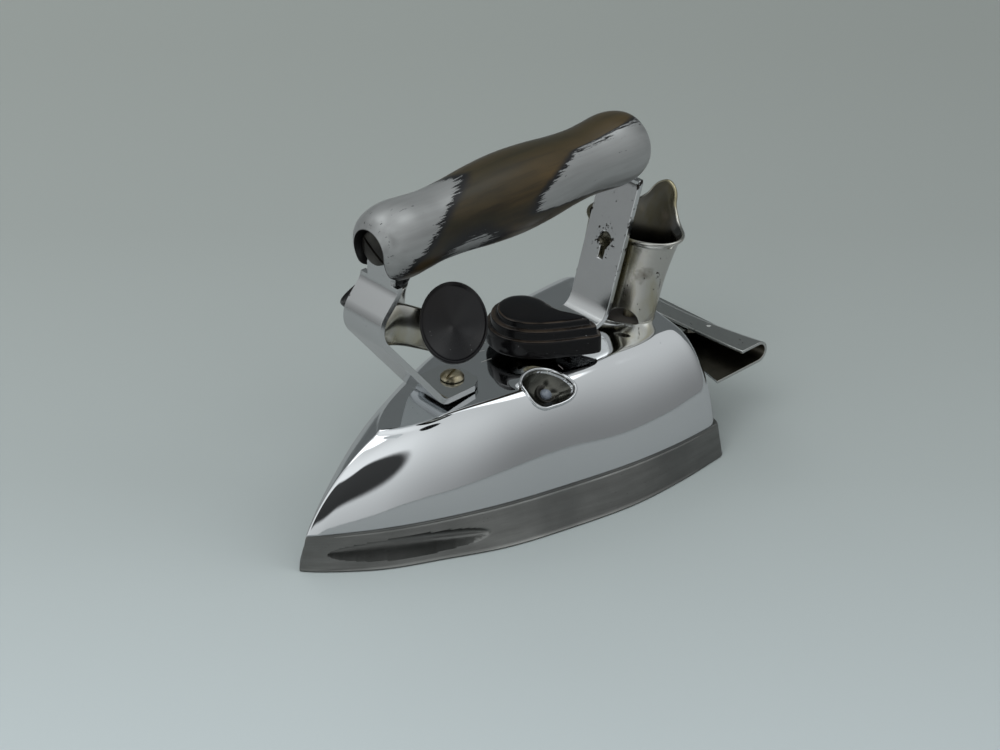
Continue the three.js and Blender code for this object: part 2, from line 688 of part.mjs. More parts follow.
const socketTop = bulbBase + SOCKET_LENGTH / 2;
add('pilot_socket', turned([
  [0, socketTop - SOCKET_LENGTH], [SOCKET_RADIUS, socketTop - SOCKET_LENGTH], [SOCKET_RADIUS, socketTop],
  [BULB_RADIUS + SEAT_GAP, socketTop], [BULB_RADIUS + SEAT_GAP, bulbBase - SEAT_GAP],
  [0, bulbBase - SEAT_GAP],
], SMALL_SIDES), FINISH.brass, pilot);

// Straps between deck and handle

const frontKneeX = FRONT_POST_X - FRONT_FOOT_AHEAD;
const frontFootZ = deckHeight(frontKneeX + FRONT_FOOT_LENGTH) + SEAT_GAP + STRAP_THICKNESS / 2;
const bulgeX = frontKneeX - FRONT_LEG_RUN;
const bulgeZ = frontFootZ + FRONT_LEG_RISE;
const tongueX = bulgeX + FRONT_RETURN_RUN;
const returnZ = bulgeZ + FRONT_RETURN_RISE;
const tongueTop = HANDLE_HEIGHT + TONGUE_WIDTH / 2;

function sideBore(radius, x, height) {
  return new THREE.CylinderGeometry(radius, radius, STRAP_THICKNESS * 6, ROUND_SIDES)
    .rotateZ(Math.PI / 2)
    .translate(x, 0, height);
}

// Narrows a strap to its tongue above a height, with a round end about the screw
function shapeTongue(strap, x, base) {
  const height = tongueTop - base + OVERRUN;
  const side = (STRAP_WIDTH - TONGUE_WIDTH) / 2 + OVERRUN;
  const blocks = [-1, 1].map((sign) => box(
    STRAP_THICKNESS * 6, side, height, x, sign * (TONGUE_WIDTH + side) / 2, base + height / 2));
  const cap = box(STRAP_THICKNESS * 5, STRAP_WIDTH, TONGUE_WIDTH, x, 0, HANDLE_HEIGHT + TONGUE_WIDTH / 2);
  const corners = cut(toSolid(cap), sideBore(TONGUE_WIDTH / 2, x, HANDLE_HEIGHT));
  const bore = sideBore(SCREW_SHANK_RADIUS + BORE_GAP, x, HANDLE_HEIGHT);
  return cut(strap.subtract(corners), ...blocks, bore);
}

function frontStrap() {
  const strip = bentStrip([
    [frontKneeX + FRONT_FOOT_LENGTH, frontFootZ],
    [frontKneeX, frontFootZ],
    [bulgeX, bulgeZ],
    [bulgeX, bulgeZ + FRONT_BULGE_RADIUS / 2],
    [tongueX, returnZ],
    [tongueX, tongueTop],
  ], STRAP_WIDTH, STRAP_THICKNESS, STRAP_BEND);
  const tabEnd = frontKneeX + FRONT_FOOT_LENGTH;
  const chamfers = [-1, 1].map((sign) => box(
    FOOT_CHAMFER * 2, FOOT_CHAMFER * 2, STRAP_THICKNESS * 2, 0, 0, 0)
    .rotateZ(Math.PI / 4)
    .translate(tabEnd + FOOT_CHAMFER / 3, sign * (STRAP_WIDTH / 2 + FOOT_CHAMFER / 3), frontFootZ));
  const footHole = post(SCREW_SHANK_RADIUS + BORE_GAP, STRAP_THICKNESS * 3, FRONT_POST_X, 0,
    frontFootZ - STRAP_THICKNESS * 1.5);
  return toGeometry(shapeTongue(cut(toSolid(strip), ...chamfers, footHole), tongueX, returnZ));
}

add('front_strap', frontStrap(), FINISH.chrome);

const rearFootZ = deckHeight(REAR_POST_X) + SEAT_GAP + STRAP_THICKNESS / 2;
const rearKneeX = NOSE_X + REAR_STRAP_FROM_NOSE;
const rearReturnZ = HANDLE_HEIGHT - HANDLE_RADIUS + STRAP_THICKNESS;
const rearTongueX = rearKneeX + (rearReturnZ - rearFootZ) * REAR_STRAP_LEAN;

function rearStrap() {
  const strip = bentStrip([
    [rearKneeX - REAR_FOOT_LENGTH, rearFootZ],
    [rearKneeX, rearFootZ],
    [rearTongueX, rearReturnZ],
    [rearTongueX, tongueTop],
  ], STRAP_WIDTH, STRAP_THICKNESS, STRAP_BEND);
  const lean = Math.atan(REAR_STRAP_LEAN);
  const keyholeX = rearKneeX + (KEYHOLE_HEIGHT - rearFootZ) * REAR_STRAP_LEAN;
  const keyhole = new THREE.CylinderGeometry(KEYHOLE_RADIUS, KEYHOLE_RADIUS, STRAP_THICKNESS * 4, ROUND_SIDES)
    .rotateZ(Math.PI / 2 - lean)
    .translate(keyholeX, 0, KEYHOLE_HEIGHT);
  const slot = box(STRAP_THICKNESS * 4, KEYHOLE_SLOT_WIDTH, KEYHOLE_SLOT_LENGTH, 0, 0, -KEYHOLE_SLOT_LENGTH / 2)
    .rotateY(lean)
    .translate(keyholeX, 0, KEYHOLE_HEIGHT);
  const footTop = rearFootZ + STRAP_THICKNESS / 2;
  const footHole = turned([
    [0, footTop - STRAP_THICKNESS - OVERRUN], [SCREW_SHANK_RADIUS + BORE_GAP, footTop - STRAP_THICKNESS - OVERRUN],
    [SCREW_SHANK_RADIUS + BORE_GAP, footTop - FLAT_HEAD_HEIGHT], [FLAT_HEAD_RADIUS + BORE_GAP, footTop],
    [FLAT_HEAD_RADIUS + BORE_GAP, footTop + OVERRUN], [0, footTop + OVERRUN],
  ]).translate(REAR_POST_X, 0, 0);
  return toGeometry(shapeTongue(cut(toSolid(strip), keyhole, slot, footHole), rearTongueX, rearReturnZ));
}

add('rear_strap', rearStrap(), FINISH.chrome);

const screwLift = STRAP_THICKNESS / 2 + SEAT_GAP;
add('front_foot_screw', screw(SCREW_SHANK_RADIUS, SCREW_SHANK_LENGTH, SCREW_HEAD_RADIUS, SCREW_HEAD_HEIGHT),
  FINISH.brass).position.set(FRONT_POST_X, 0, frontFootZ + screwLift);

// The rear foot's screw has a flat head flush with the foot, so that the dial passes over it
function flatScrew() {
  const body = turned([
    [0, -SCREW_SHANK_LENGTH], [SCREW_SHANK_RADIUS, -SCREW_SHANK_LENGTH],
    [SCREW_SHANK_RADIUS, -FLAT_HEAD_HEIGHT], [FLAT_HEAD_RADIUS, 0], [0, 0],
  ], SMALL_SIDES);
  const slot = box(FLAT_HEAD_RADIUS * 3, SCREW_SLOT_WIDTH, SCREW_SLOT_DEPTH * 2, 0, 0, 0);
  return toGeometry(cut(toSolid(body), slot));
}

add('rear_foot_screw', flatScrew(), FINISH.brass).position.set(REAR_POST_X, 0, rearFootZ + STRAP_THICKNESS / 2);

// Handle, with a notch at each end for a strap's tongue and its screw

const handleFrontX = NOSE_X + HANDLE_FRONT_FROM_NOSE;
const handleRearX = handleFrontX + HANDLE_LENGTH;

function handleGrip() {
  const front = HANDLE_PROFILE_SHARES.map(([along, out]) => [along, out]);
  const rear = front.slice(0, -1).reverse().map(([along, out]) => [1 - along, out]);
  const knots = [...front, ...rear].map(([along, out]) => new THREE.Vector2(
    out * HANDLE_RADIUS, along * HANDLE_LENGTH));
  const smooth = new THREE.SplineCurve(knots).getPoints(knots.length + SMALL_SIDES);
  const profile = [new THREE.Vector2(0, 0), ...smooth, new THREE.Vector2(0, HANDLE_LENGTH)];
  const body = new THREE.LatheGeometry(profile, ROUND_SIDES + 4)
    .rotateZ(-Math.PI / 2)
    .translate(handleFrontX, 0, HANDLE_HEIGHT);
  const seats = [
    [handleFrontX, tongueX + STRAP_THICKNESS / 2 + SEAT_GAP],
    [rearTongueX - STRAP_THICKNESS / 2 - SEAT_GAP, handleRearX],
  ];
  const tools = seats.flatMap(([from, to], end) => {
    const start = end === 0 ? from - OVERRUN : from;
    const stop = end === 0 ? to : to + OVERRUN;
    const length = stop - start;
    const bore = new THREE.CylinderGeometry(NOTCH_RADIUS, NOTCH_RADIUS, length, ROUND_SIDES)
      .rotateZ(Math.PI / 2)
      .translate(start + length / 2, 0, HANDLE_HEIGHT);
    const slot = box(length, NOTCH_RADIUS * 2, HANDLE_RADIUS * 2, start + length / 2, 0,
      HANDLE_HEIGHT - HANDLE_RADIUS);
    const inner = end === 0 ? to : from;
    const shaft = new THREE.CylinderGeometry(
      SCREW_SHANK_RADIUS + BORE_GAP, SCREW_SHANK_RADIUS + BORE_GAP, HANDLE_SCREW_LENGTH * 2, SMALL_SIDES)
      .rotateZ(Math.PI / 2)
      .translate(inner, 0, HANDLE_HEIGHT);
    return [bore, slot, shaft];
  });
  return toGeometry(cut(toSolid(body), ...tools));
}

add('handle_grip', handleGrip(), FINISH.wood);

[['handle_front_screw', tongueX, -1], ['handle_rear_screw', rearTongueX, 1]].forEach(([name, x, side]) => {
  const mesh = add(name, screw(SCREW_SHANK_RADIUS, HANDLE_SCREW_LENGTH - OVERRUN, NOTCH_RADIUS - SEAT_GAP * 3,
    SCREW_HEAD_HEIGHT), FINISH.steel);
  mesh.position.set(x + side * screwLift, 0, HANDLE_HEIGHT);
  mesh.rotation.set(0, side * Math.PI / 2, 0);
});

// Thumb rests: a mirrored pair of oval dishes on a saddle bracket behind the front strap

const thumbNormal = new THREE.Vector3(-0.3, -0.5, 0.81).normalize();
const thumbShort = new THREE.Vector3(0.731, -0.682, 0).normalize();

// Dish frame: local X is the short axis, local Z the outward normal
function thumbFrame(side) {
  const normal = thumbNormal.clone();
  const across = thumbShort.clone();
  across.addScaledVector(normal, -across.dot(normal)).normalize();
  const along = new THREE.Vector3().crossVectors(normal, across);
  const matrix = new THREE.Matrix4().makeBasis(across, along, normal);
  matrix.setPosition(NOSE_X + THUMB_FROM_NOSE, -THUMB_OUT, THUMB_HEIGHT);
  if (side > 0) {
    const mirrorNormal = new THREE.Vector3(normal.x, -normal.y, normal.z);
    const mirrorAlong = new THREE.Vector3(along.x, -along.y, along.z);
    const mirrorAcross = new THREE.Vector3().crossVectors(mirrorAlong, mirrorNormal);
    matrix.makeBasis(mirrorAcross, mirrorAlong, mirrorNormal);
    matrix.setPosition(NOSE_X + THUMB_FROM_NOSE, THUMB_OUT, THUMB_HEIGHT);
  }
  return matrix;
}

function thumbDish() {
  const bore = THUMB_SPIGOT_RADIUS + BORE_GAP;
  const back = -THUMB_DEPTH;
  const floor = back + THUMB_SPIGOT_LENGTH + BORE_GAP;
  return turned([
    [0, floor], [bore / THUMB_HALF_WIDTH, floor], [bore / THUMB_HALF_WIDTH, back],
    [0.72, back], [0.93, back * 0.72], [1, back * 0.2], [0.985, 0], [0.93, 0],
    [0.5, -THUMB_DISH * 0.6], [0, -THUMB_DISH],
  ], ROUND_SIDES + 4).scale(THUMB_HALF_WIDTH, THUMB_HALF_LENGTH, 1);
}

[['thumb_rest_port', -1], ['thumb_rest_starboard', 1]].forEach(([name, side]) => {
  const mesh = add(name, thumbDish(), FINISH.moulding);
  mesh.applyMatrix4(thumbFrame(side));
});

// Tapered horn from one point to another
function horn(from, to, startRadius, endRadius) {
  const axis = to.clone().sub(from);
  const length = axis.length();
  const turn = new THREE.Quaternion().setFromUnitVectors(new THREE.Vector3(0, 1, 0), axis.normalize());
  return new THREE.CylinderGeometry(endRadius, startRadius, length, SMALL_SIDES)
    .translate(0, length / 2, 0)
    .applyQuaternion(turn)
    .translate(from.x, from.y, from.z);
}

function thumbBracket() {
  const face = bulgeX + STRAP_THICKNESS / 2 + SEAT_GAP;
  const plate = box(STRAP_THICKNESS, STRAP_WIDTH - SADDLE_SPREAD, FRONT_BULGE_RADIUS / 4,
    face + STRAP_THICKNESS / 2, 0, bulgeZ + FRONT_BULGE_RADIUS / 4);
  const parts = [-1, 1].flatMap((side) => {
    const frame = thumbFrame(side);
    const seat = new THREE.Vector3(0, 0, -THUMB_DEPTH - SEAT_GAP).applyMatrix4(frame);
    const inside = new THREE.Vector3(0, 0, -THUMB_DEPTH - SEAT_GAP - SADDLE_NECK).applyMatrix4(frame);
    const tip = new THREE.Vector3(0, 0, -THUMB_DEPTH + THUMB_SPIGOT_LENGTH).applyMatrix4(frame);
    const root = new THREE.Vector3(face + STRAP_THICKNESS * 1.2, side * SADDLE_SPREAD / 2,
      bulgeZ + FRONT_BULGE_RADIUS / 4);
    return [
      horn(root, inside, SADDLE_WAIST_RADIUS - STRAP_THICKNESS, SADDLE_WAIST_RADIUS),
      horn(inside, seat, SADDLE_WAIST_RADIUS, SADDLE_FLARE_RADIUS),
      horn(inside, tip, THUMB_SPIGOT_RADIUS, THUMB_SPIGOT_RADIUS),
    ];
  });
  return toGeometry(join(plate, ...parts));
}

add('thumb_rest_bracket', thumbBracket(), FINISH.wornChrome);

// Dial, spindle and bushing, all on one upright axis

const dialBase = rearFootZ + STRAP_THICKNESS / 2 + DIAL_LIFT;

// Closed comma outline about the spindle, drawn in by an inset
function dialOutline(inset) {
  const knots = DIAL_OUTLINE_SHARES.map(([turn, reach]) => new THREE.Vector3(
    DIAL_REACH * reach * Math.cos(turn * Math.PI * 2), DIAL_REACH * reach * Math.sin(turn * Math.PI * 2), 0));
  const line = new THREE.CatmullRomCurve3(knots, true, 'centripetal').getPoints(DIAL_POINTS).slice(0, -1);
  return line.map((point, i) => {
    const next = line[(i + 1) % line.length];
    const previous = line[(i + line.length - 1) % line.length];
    const along = next.clone().sub(previous).normalize();
    return new THREE.Vector2(point.x + along.y * inset, point.y - along.x * inset);
  });
}

function dialTier(inset, base, height) {
  const tier = new THREE.ExtrudeGeometry(new THREE.Shape(dialOutline(inset)), {
    depth: height,
    bevelEnabled: false,
  });
  return tier.translate(0, 0, base);
}

function dialKnob() {
  const tiers = [];
  for (let step = 0; step < DIAL_STEPS; step += 1) {
    const height = DIAL_BAND_HEIGHT + step * DIAL_STEP_HEIGHT;
    tiers.push(dialTier(step * DIAL_STEP_INSET, 0, height));
  }
  const headRadius = DIAL_REACH * DIAL_HEAD_SHARE;
  const rim = DIAL_BAND_HEIGHT + (DIAL_STEPS - 1) * DIAL_STEP_HEIGHT;
  const crown = new THREE.SphereGeometry(1, ROUND_SIDES, SMALL_SIDES)
    .scale(headRadius, headRadius, DIAL_CROWN_HEIGHT)
    .translate(-DIAL_REACH * DIAL_HEAD_BACK_SHARE, DIAL_REACH * DIAL_HEAD_SIDE_SHARE, rim);
  const socket = post(SPINDLE_RADIUS + BORE_GAP, SPINDLE_SOCKET_DEPTH + OVERRUN, 0, 0, -OVERRUN);
  return toGeometry(cut(join(...tiers, crown), socket));
}

add('dial_knob', dialKnob(), FINISH.moulding).position.set(DIAL_X, 0, dialBase);

const bushingSeat = deckHeight(DIAL_X) + SEAT_GAP;
const spindleFoot = bushingSeat - SHELL_WALL - BUSHING_LENGTH - SPINDLE_TIP_HEIGHT;
const spindleTop = dialBase + SPINDLE_SOCKET_DEPTH - SEAT_GAP;

add('dial_spindle', turned([
  [0, spindleFoot], [SPINDLE_TIP_RADIUS, spindleFoot],
  [SPINDLE_TIP_RADIUS, spindleFoot + SPINDLE_TIP_HEIGHT - SEAT_GAP],
  [SPINDLE_RADIUS, spindleFoot + SPINDLE_TIP_HEIGHT - SEAT_GAP], [SPINDLE_RADIUS, spindleTop],
  [0, spindleTop],
]), FINISH.brass).position.set(DIAL_X, 0, 0);

const bushingFoot = bushingSeat - SHELL_WALL - BUSHING_LENGTH;
add('spindle_bushing', turned([
  [SPINDLE_RADIUS + BORE_GAP, bushingFoot], [BUSHING_RADIUS, bushingFoot], [BUSHING_RADIUS, bushingSeat],
  [BUSHING_FLANGE_RADIUS, bushingSeat], [BUSHING_FLANGE_RADIUS, bushingSeat + BUSHING_FLANGE_HEIGHT],
  [SPINDLE_RADIUS + BORE_GAP, bushingSeat + BUSHING_FLANGE_HEIGHT],
  [SPINDLE_RADIUS + BORE_GAP, bushingFoot],
]), FINISH.brass).position.set(DIAL_X, 0, 0);

// Thermostat: bracket on the clamp plate, blades held between insulators, contacts at the free ends

const stackX = DIAL_X - STACK_AHEAD;
const bracketBase = CLAMP_TOP + SEAT_GAP;
const insulatorBases = [0, 1, 2].map((level) => bracketBase + BRACKET_THICKNESS + SEAT_GAP
  + level * (INSULATOR_HEIGHT + BLADE_THICKNESS + SEAT_GAP * 2));
const bladeBases = insulatorBases.slice(0, 2).map((base) => base + INSULATOR_HEIGHT + SEAT_GAP);

function bored(geometry, z, height) {
  const hole = post(STACK_SCREW_RADIUS + BORE_GAP, height + OVERRUN * 2, stackX, 0, z - OVERRUN, SMALL_SIDES);
  return cut(toSolid(geometry), hole);
}

const bracketLength = STACK_AHEAD + INSULATOR_SIZE / 2;
add('thermostat_bracket', toGeometry(bored(
  box(bracketLength, BRACKET_WIDTH, BRACKET_THICKNESS, stackX - INSULATOR_SIZE / 2 + bracketLength / 2, 0,
    bracketBase + BRACKET_THICKNESS / 2), bracketBase, BRACKET_THICKNESS)), FINISH.steel);

['lower', 'middle', 'upper'].forEach((name, level) => {
  const base = insulatorBases[level];
  add(`insulator_${name}`, toGeometry(bored(
    box(INSULATOR_SIZE, INSULATOR_SIZE, INSULATOR_HEIGHT, stackX, 0, base + INSULATOR_HEIGHT / 2),
    base, INSULATOR_HEIGHT)), FINISH.ceramic);
});

const contactX = stackX - INSULATOR_SIZE / 2 + BLADE_LENGTH - CONTACT_RADIUS * 2;
[['bimetal_blade', 0], ['spring_blade', 1]].forEach(([name, level]) => {
  const base = bladeBases[level];
  const blade = box(BLADE_LENGTH, BLADE_WIDTH, BLADE_THICKNESS,
    stackX - INSULATOR_SIZE / 2 + BLADE_LENGTH / 2, 0, base + BLADE_THICKNESS / 2);
  const rivetHole = post(CONTACT_RADIUS / 2 + BORE_GAP, BLADE_THICKNESS + OVERRUN * 2, contactX, 0,
    base - OVERRUN, SMALL_SIDES);
  add(name, toGeometry(cut(bored(blade, base, BLADE_THICKNESS), rivetHole)), FINISH.steel);
});

const contactRoom = bladeBases[1] - bladeBases[0] - BLADE_THICKNESS - SEAT_GAP * 3;
[['contact_lower', bladeBases[0] + BLADE_THICKNESS + SEAT_GAP, 1],
  ['contact_upper', bladeBases[1] - SEAT_GAP, -1]].forEach(([name, height, side]) => {
  const button = turned([
    [0, -BLADE_THICKNESS - SEAT_GAP], [CONTACT_RADIUS / 2, -BLADE_THICKNESS - SEAT_GAP],
    [CONTACT_RADIUS / 2, 0], [CONTACT_RADIUS, 0], [CONTACT_RADIUS, contactRoom / 3], [0, contactRoom / 2],
  ], SMALL_SIDES);
  const mesh = add(name, button, FINISH.brass);
  mesh.position.set(contactX, 0, height);
  mesh.rotation.set(side < 0 ? Math.PI : 0, 0, 0);
});

const stackTop = insulatorBases[2] + INSULATOR_HEIGHT + SEAT_GAP;
add('stack_screw', screw(STACK_SCREW_RADIUS, stackTop - bracketBase, STACK_HEAD_RADIUS, STACK_HEAD_HEIGHT),
  FINISH.steel).position.set(stackX, 0, stackTop);

// Plug guard: leaning oval tube whose rear wall runs up into a pointed tongue

const guardFoot = DECK_HEIGHT - GUARD_SINK;

function guardWall(grow, from, to) {
  const middle = (GUARD_FLARE_START + GUARD_LIP_HEIGHT) / 2;
  const rings = [from, GUARD_FLARE_START, middle, GUARD_LIP_HEIGHT, to].map((height) => {
    const share = Math.max(height - GUARD_FLARE_START, 0) / (GUARD_TIP_HEIGHT - GUARD_FLARE_START);
    return guardEllipse(height, grow, GUARD_FLARE * share ** GUARD_FLARE_EASE_SHARE);
  });
  return loft(rings);
}

function plugGuard() {
  const outer = guardWall(0, guardFoot, GUARD_TIP_HEIGHT);
  const inner = guardWall(-GUARD_WALL, guardFoot - OVERRUN, GUARD_TIP_HEIGHT + OVERRUN);
  const tall = GUARD_TIP_HEIGHT - GUARD_LIP_HEIGHT;
  const lipCentreX = GUARD_X + (GUARD_LIP_HEIGHT - DECK_HEIGHT) * REAR_STRAP_LEAN;
  const reach = GUARD_HALF_WIDTH * 2;
  const above = box(reach * 2, reach * 2, tall * 2, lipCentreX, 0, GUARD_LIP_HEIGHT + tall);
  const tongue = new THREE.Shape();
  tongue.moveTo(-GUARD_HALF_WIDTH, -OVERRUN);
  tongue.lineTo(GUARD_HALF_WIDTH, -OVERRUN);
  tongue.quadraticCurveTo(GUARD_TONGUE_HALF_WIDTH, OVERRUN / 2, GUARD_TONGUE_HALF_WIDTH / 2, tall * GUARD_TONGUE_SHARE);
  tongue.lineTo(0, tall);
  tongue.lineTo(-GUARD_TONGUE_HALF_WIDTH / 2, tall * GUARD_TONGUE_SHARE);
  tongue.quadraticCurveTo(-GUARD_TONGUE_HALF_WIDTH, OVERRUN / 2, -GUARD_HALF_WIDTH, -OVERRUN);
  const kept = new THREE.ExtrudeGeometry(tongue, { depth: reach, bevelEnabled: false, curveSegments: BEND_STEPS })
    .rotateX(Math.PI / 2)
    .rotateZ(Math.PI / 2)
    .translate(lipCentreX, 0, GUARD_LIP_HEIGHT);
  const trim = toSolid(above).subtract(toSolid(kept));
  const arches = [-1, 1].map((side) => new THREE.CylinderGeometry(
    GUARD_ARCH_RADIUS, GUARD_ARCH_RADIUS, GUARD_HALF_DEPTH, ROUND_SIDES)
    .rotateZ(Math.PI / 2)
    .translate(GUARD_X - GUARD_HALF_DEPTH, side * GUARD_ARCH_OUT, DECK_HEIGHT));
  return toGeometry(cut(toSolid(outer).subtract(toSolid(inner)).subtract(trim), ...arches));
}

add('plug_guard', plugGuard(), FINISH.wornChrome);

// Terminal block in the guard's foot, with two pins that lean with the guard

const blockBase = guardFoot + SEAT_GAP;

// Leaning round bar that follows the guard's axis between two heights
function leaningBar(radius, from, to, y) {
  const ends = [from, to].map((height) => new THREE.Vector3(
    GUARD_X + (height - DECK_HEIGHT) * REAR_STRAP_LEAN, y, height));
  return horn(ends[0], ends[1], radius, radius);
}

const pinFoot = blockBase - OVERRUN;
const pinTop = blockBase + BLOCK_HEIGHT + PIN_RISE;
const block = loft([
  guardEllipse(blockBase, -GUARD_WALL - BORE_GAP),
  guardEllipse(blockBase + BLOCK_HEIGHT, -GUARD_WALL - BORE_GAP),
]);
const pinBores = [-1, 1].map((side) => leaningBar(
  PIN_RADIUS + BORE_GAP, pinFoot - OVERRUN, pinTop, side * PIN_SPACING / 2));
add('terminal_block', toGeometry(cut(toSolid(block), ...pinBores)), FINISH.ceramic);
[['terminal_pin_port', -1], ['terminal_pin_starboard', 1]].forEach(([name, side]) => {
  add(name, leaningBar(PIN_RADIUS, pinFoot, pinTop, side * PIN_SPACING / 2), FINISH.brass);
});

// Bus wires: pin to element, pin to bimetal blade, spring blade to element

const tailTurn = new THREE.Vector3(ELEMENT_TAIL_RISE / 2, 0, ELEMENT_TAIL_RISE).normalize();
const tailTop = elementZ + ELEMENT_TAIL_RISE + SEAT_GAP * 2;

function tailEnd(side) {
  const route = elementRoute(ELEMENT_TAIL_RISE);
  const end = side < 0 ? route[0] : route[route.length - 1];
  return end.clone().addScaledVector(tailTurn, SEAT_GAP * 2).setY(side * Math.abs(end.y));
}

function pinEnd(side) {
  return new THREE.Vector3(
    GUARD_X + (pinFoot - SEAT_GAP - DECK_HEIGHT) * REAR_STRAP_LEAN, side * PIN_SPACING / 2, pinFoot - SEAT_GAP);
}

function busWire(points) {
  return tube(points, WIRE_RADIUS, WIRE_STEPS, WIRE_SIDES);
}

const wireFloor = CLAMP_TOP + WIRE_RADIUS * 4;
const portTail = tailEnd(-1);
const portPin = pinEnd(-1);
add('bus_wire_port', busWire([
  portTail,
  portTail.clone().setZ(tailTop + WIRE_RADIUS * 4).setX(portTail.x + WIRE_RADIUS * 2),
  portPin.clone().lerp(portTail, 0.4).setZ((portPin.z + portTail.z) / 2 + WIRE_RADIUS),
  portPin.clone().setZ(portPin.z - WIRE_RADIUS * 4),
  portPin,
]), FINISH.wire);

const starboardPin = pinEnd(1);
const tabX = stackX + INSULATOR_SIZE / 2 + WIRE_RADIUS * 2;
const bladeEdge = BLADE_WIDTH / 2 + SEAT_GAP;

// Last bends of a wire that meets the edge of the blade at the given level
function bladeApproach(level) {
  const height = bladeBases[level] + BLADE_THICKNESS / 2;
  return [
    new THREE.Vector3(tabX + INSULATOR_SIZE / 2, bladeEdge * 2.5, height),
    new THREE.Vector3(tabX, bladeEdge + WIRE_RADIUS * 3, height),
    new THREE.Vector3(tabX, bladeEdge, height),
  ];
}

add('bus_wire_inlet', busWire([
  starboardPin,
  starboardPin.clone().setZ(starboardPin.z - WIRE_RADIUS * 4),
  new THREE.Vector3(REAR_POST_X, POST_RADIUS * 3, wireFloor + WIRE_RADIUS * 2),
  new THREE.Vector3(DIAL_X, POST_RADIUS * 2.6, wireFloor),
  ...bladeApproach(0),
]), FINISH.wire);

const starboardTail = tailEnd(1);
add('bus_wire_element', busWire([
  ...bladeApproach(1).reverse(),
  new THREE.Vector3(DIAL_X, POST_RADIUS * 4.2, wireFloor + WIRE_RADIUS * 3),
  new THREE.Vector3(REAR_POST_X, POST_RADIUS * 4.6, tailTop + WIRE_RADIUS * 4),
  starboardTail.clone().setZ(tailTop + WIRE_RADIUS * 5),
  starboardTail,
]), FINISH.wire);

// Heel rest: one sheet folded round a roll, hollowed along its rear edge

const heelReachX = NOSE_X + HEEL_REACH;

function heelRest() {
  const rollZ = (upperSheetZ + lowerSheetZ) / 2;
  const rise = (upperSheetZ - lowerSheetZ) / 2;
  const path = [[NOSE_X + HEEL_UPPER_FRONT, upperSheetZ]];
  for (let i = 0; i <= BEND_STEPS * 2; i += 1) {
    const turn = Math.PI / 2 - i / (BEND_STEPS * 2) * Math.PI;
    path.push([heelReachX + HEEL_ROLL_RADIUS * Math.cos(turn), rollZ + rise * Math.sin(turn)]);
  }
  path.push([NOSE_X + HEEL_LOWER_FRONT, lowerSheetZ]);
  const left = [];
  const right = [];
  path.forEach(([x, z], i) => {
    const next = path[Math.min(i + 1, path.length - 1)];
    const previous = path[Math.max(i - 1, 0)];
    const along = new THREE.Vector2(next[0] - previous[0], next[1] - previous[1]).normalize();
    const side = new THREE.Vector2(-along.y, along.x).multiplyScalar(HEEL_SHEET / 2);
    left.push(new THREE.Vector2(x, z).add(side));
    right.unshift(new THREE.Vector2(x, z).sub(side));
  });
  const fold = new THREE.ExtrudeGeometry(new THREE.Shape([...left, ...right]), {
    depth: HEEL_HALF_WIDTH * 2,
    bevelEnabled: false,
  }).rotateX(Math.PI / 2).translate(0, HEEL_HALF_WIDTH, 0);
  const rivetHoles = [-1, 1].map((side) => post(
    RIVET_RADIUS + BORE_GAP, HEEL_SHEET * 4, heelRivetX, side * heelRivetOut, upperSheetZ - HEEL_SHEET * 2,
    SMALL_SIDES));
  return toGeometry(cut(toSolid(fold), ...rivetHoles));
}

const heelRivetX = NOSE_X + HEEL_UPPER_FRONT + RIVET_HEAD_RADIUS;
const heelRivetOut = HEEL_HALF_WIDTH / 2;
add('heel_rest', heelRest(), FINISH.chrome);

// Heel bracket: neck out of the shell, spreading under the heel rest's upper flange

const heelPostX = NOSE_X + HEEL_POST_FROM_NOSE;

function heelBracket() {
  const front = NOSE_X + NECK_FRONT;
  const wingFront = NOSE_X + HEEL_UPPER_FRONT - HEEL_SHEET;
  const wingRear = heelReachX - HEEL_SHEET;
  const wingOut = HEEL_HALF_WIDTH - HEEL_SHEET * 2;
  const outline = new THREE.Shape();
  outline.moveTo(front, -NECK_HALF_WIDTH);
  outline.lineTo(wingFront - HEEL_HOLLOW, -NECK_HALF_WIDTH);
  outline.quadraticCurveTo(wingFront, -NECK_HALF_WIDTH, wingFront, -NECK_HALF_WIDTH - HEEL_HOLLOW);
  outline.lineTo(wingFront + HEEL_SHEET, -wingOut);
  outline.lineTo(wingRear, -wingOut);
  outline.lineTo(wingRear, wingOut);
  outline.lineTo(wingFront + HEEL_SHEET, wingOut);
  outline.lineTo(wingFront, NECK_HALF_WIDTH + HEEL_HOLLOW);
  outline.quadraticCurveTo(wingFront, NECK_HALF_WIDTH, wingFront - HEEL_HOLLOW, NECK_HALF_WIDTH);
  outline.lineTo(front, NECK_HALF_WIDTH);
  const plate = new THREE.ExtrudeGeometry(outline, {
    depth: NECK_SHEET,
    bevelEnabled: false,
    curveSegments: BEND_STEPS,
  }).translate(0, 0, neckBaseZ);
  const screwHoles = [-1, 1].map((side) => post(
    SMALL_SCREW_RADIUS + BORE_GAP, NECK_SHEET * 3, heelPostX, side * HEEL_POST_OUT, neckBaseZ - NECK_SHEET,
    SMALL_SIDES));
  const rivetHoles = [-1, 1].map((side) => post(
    RIVET_RADIUS + BORE_GAP, NECK_SHEET * 3, heelRivetX, side * heelRivetOut, neckBaseZ - NECK_SHEET,
    SMALL_SIDES));
  return toGeometry(cut(toSolid(plate), ...screwHoles, ...rivetHoles));
}

add('heel_bracket', heelBracket(), FINISH.chrome);

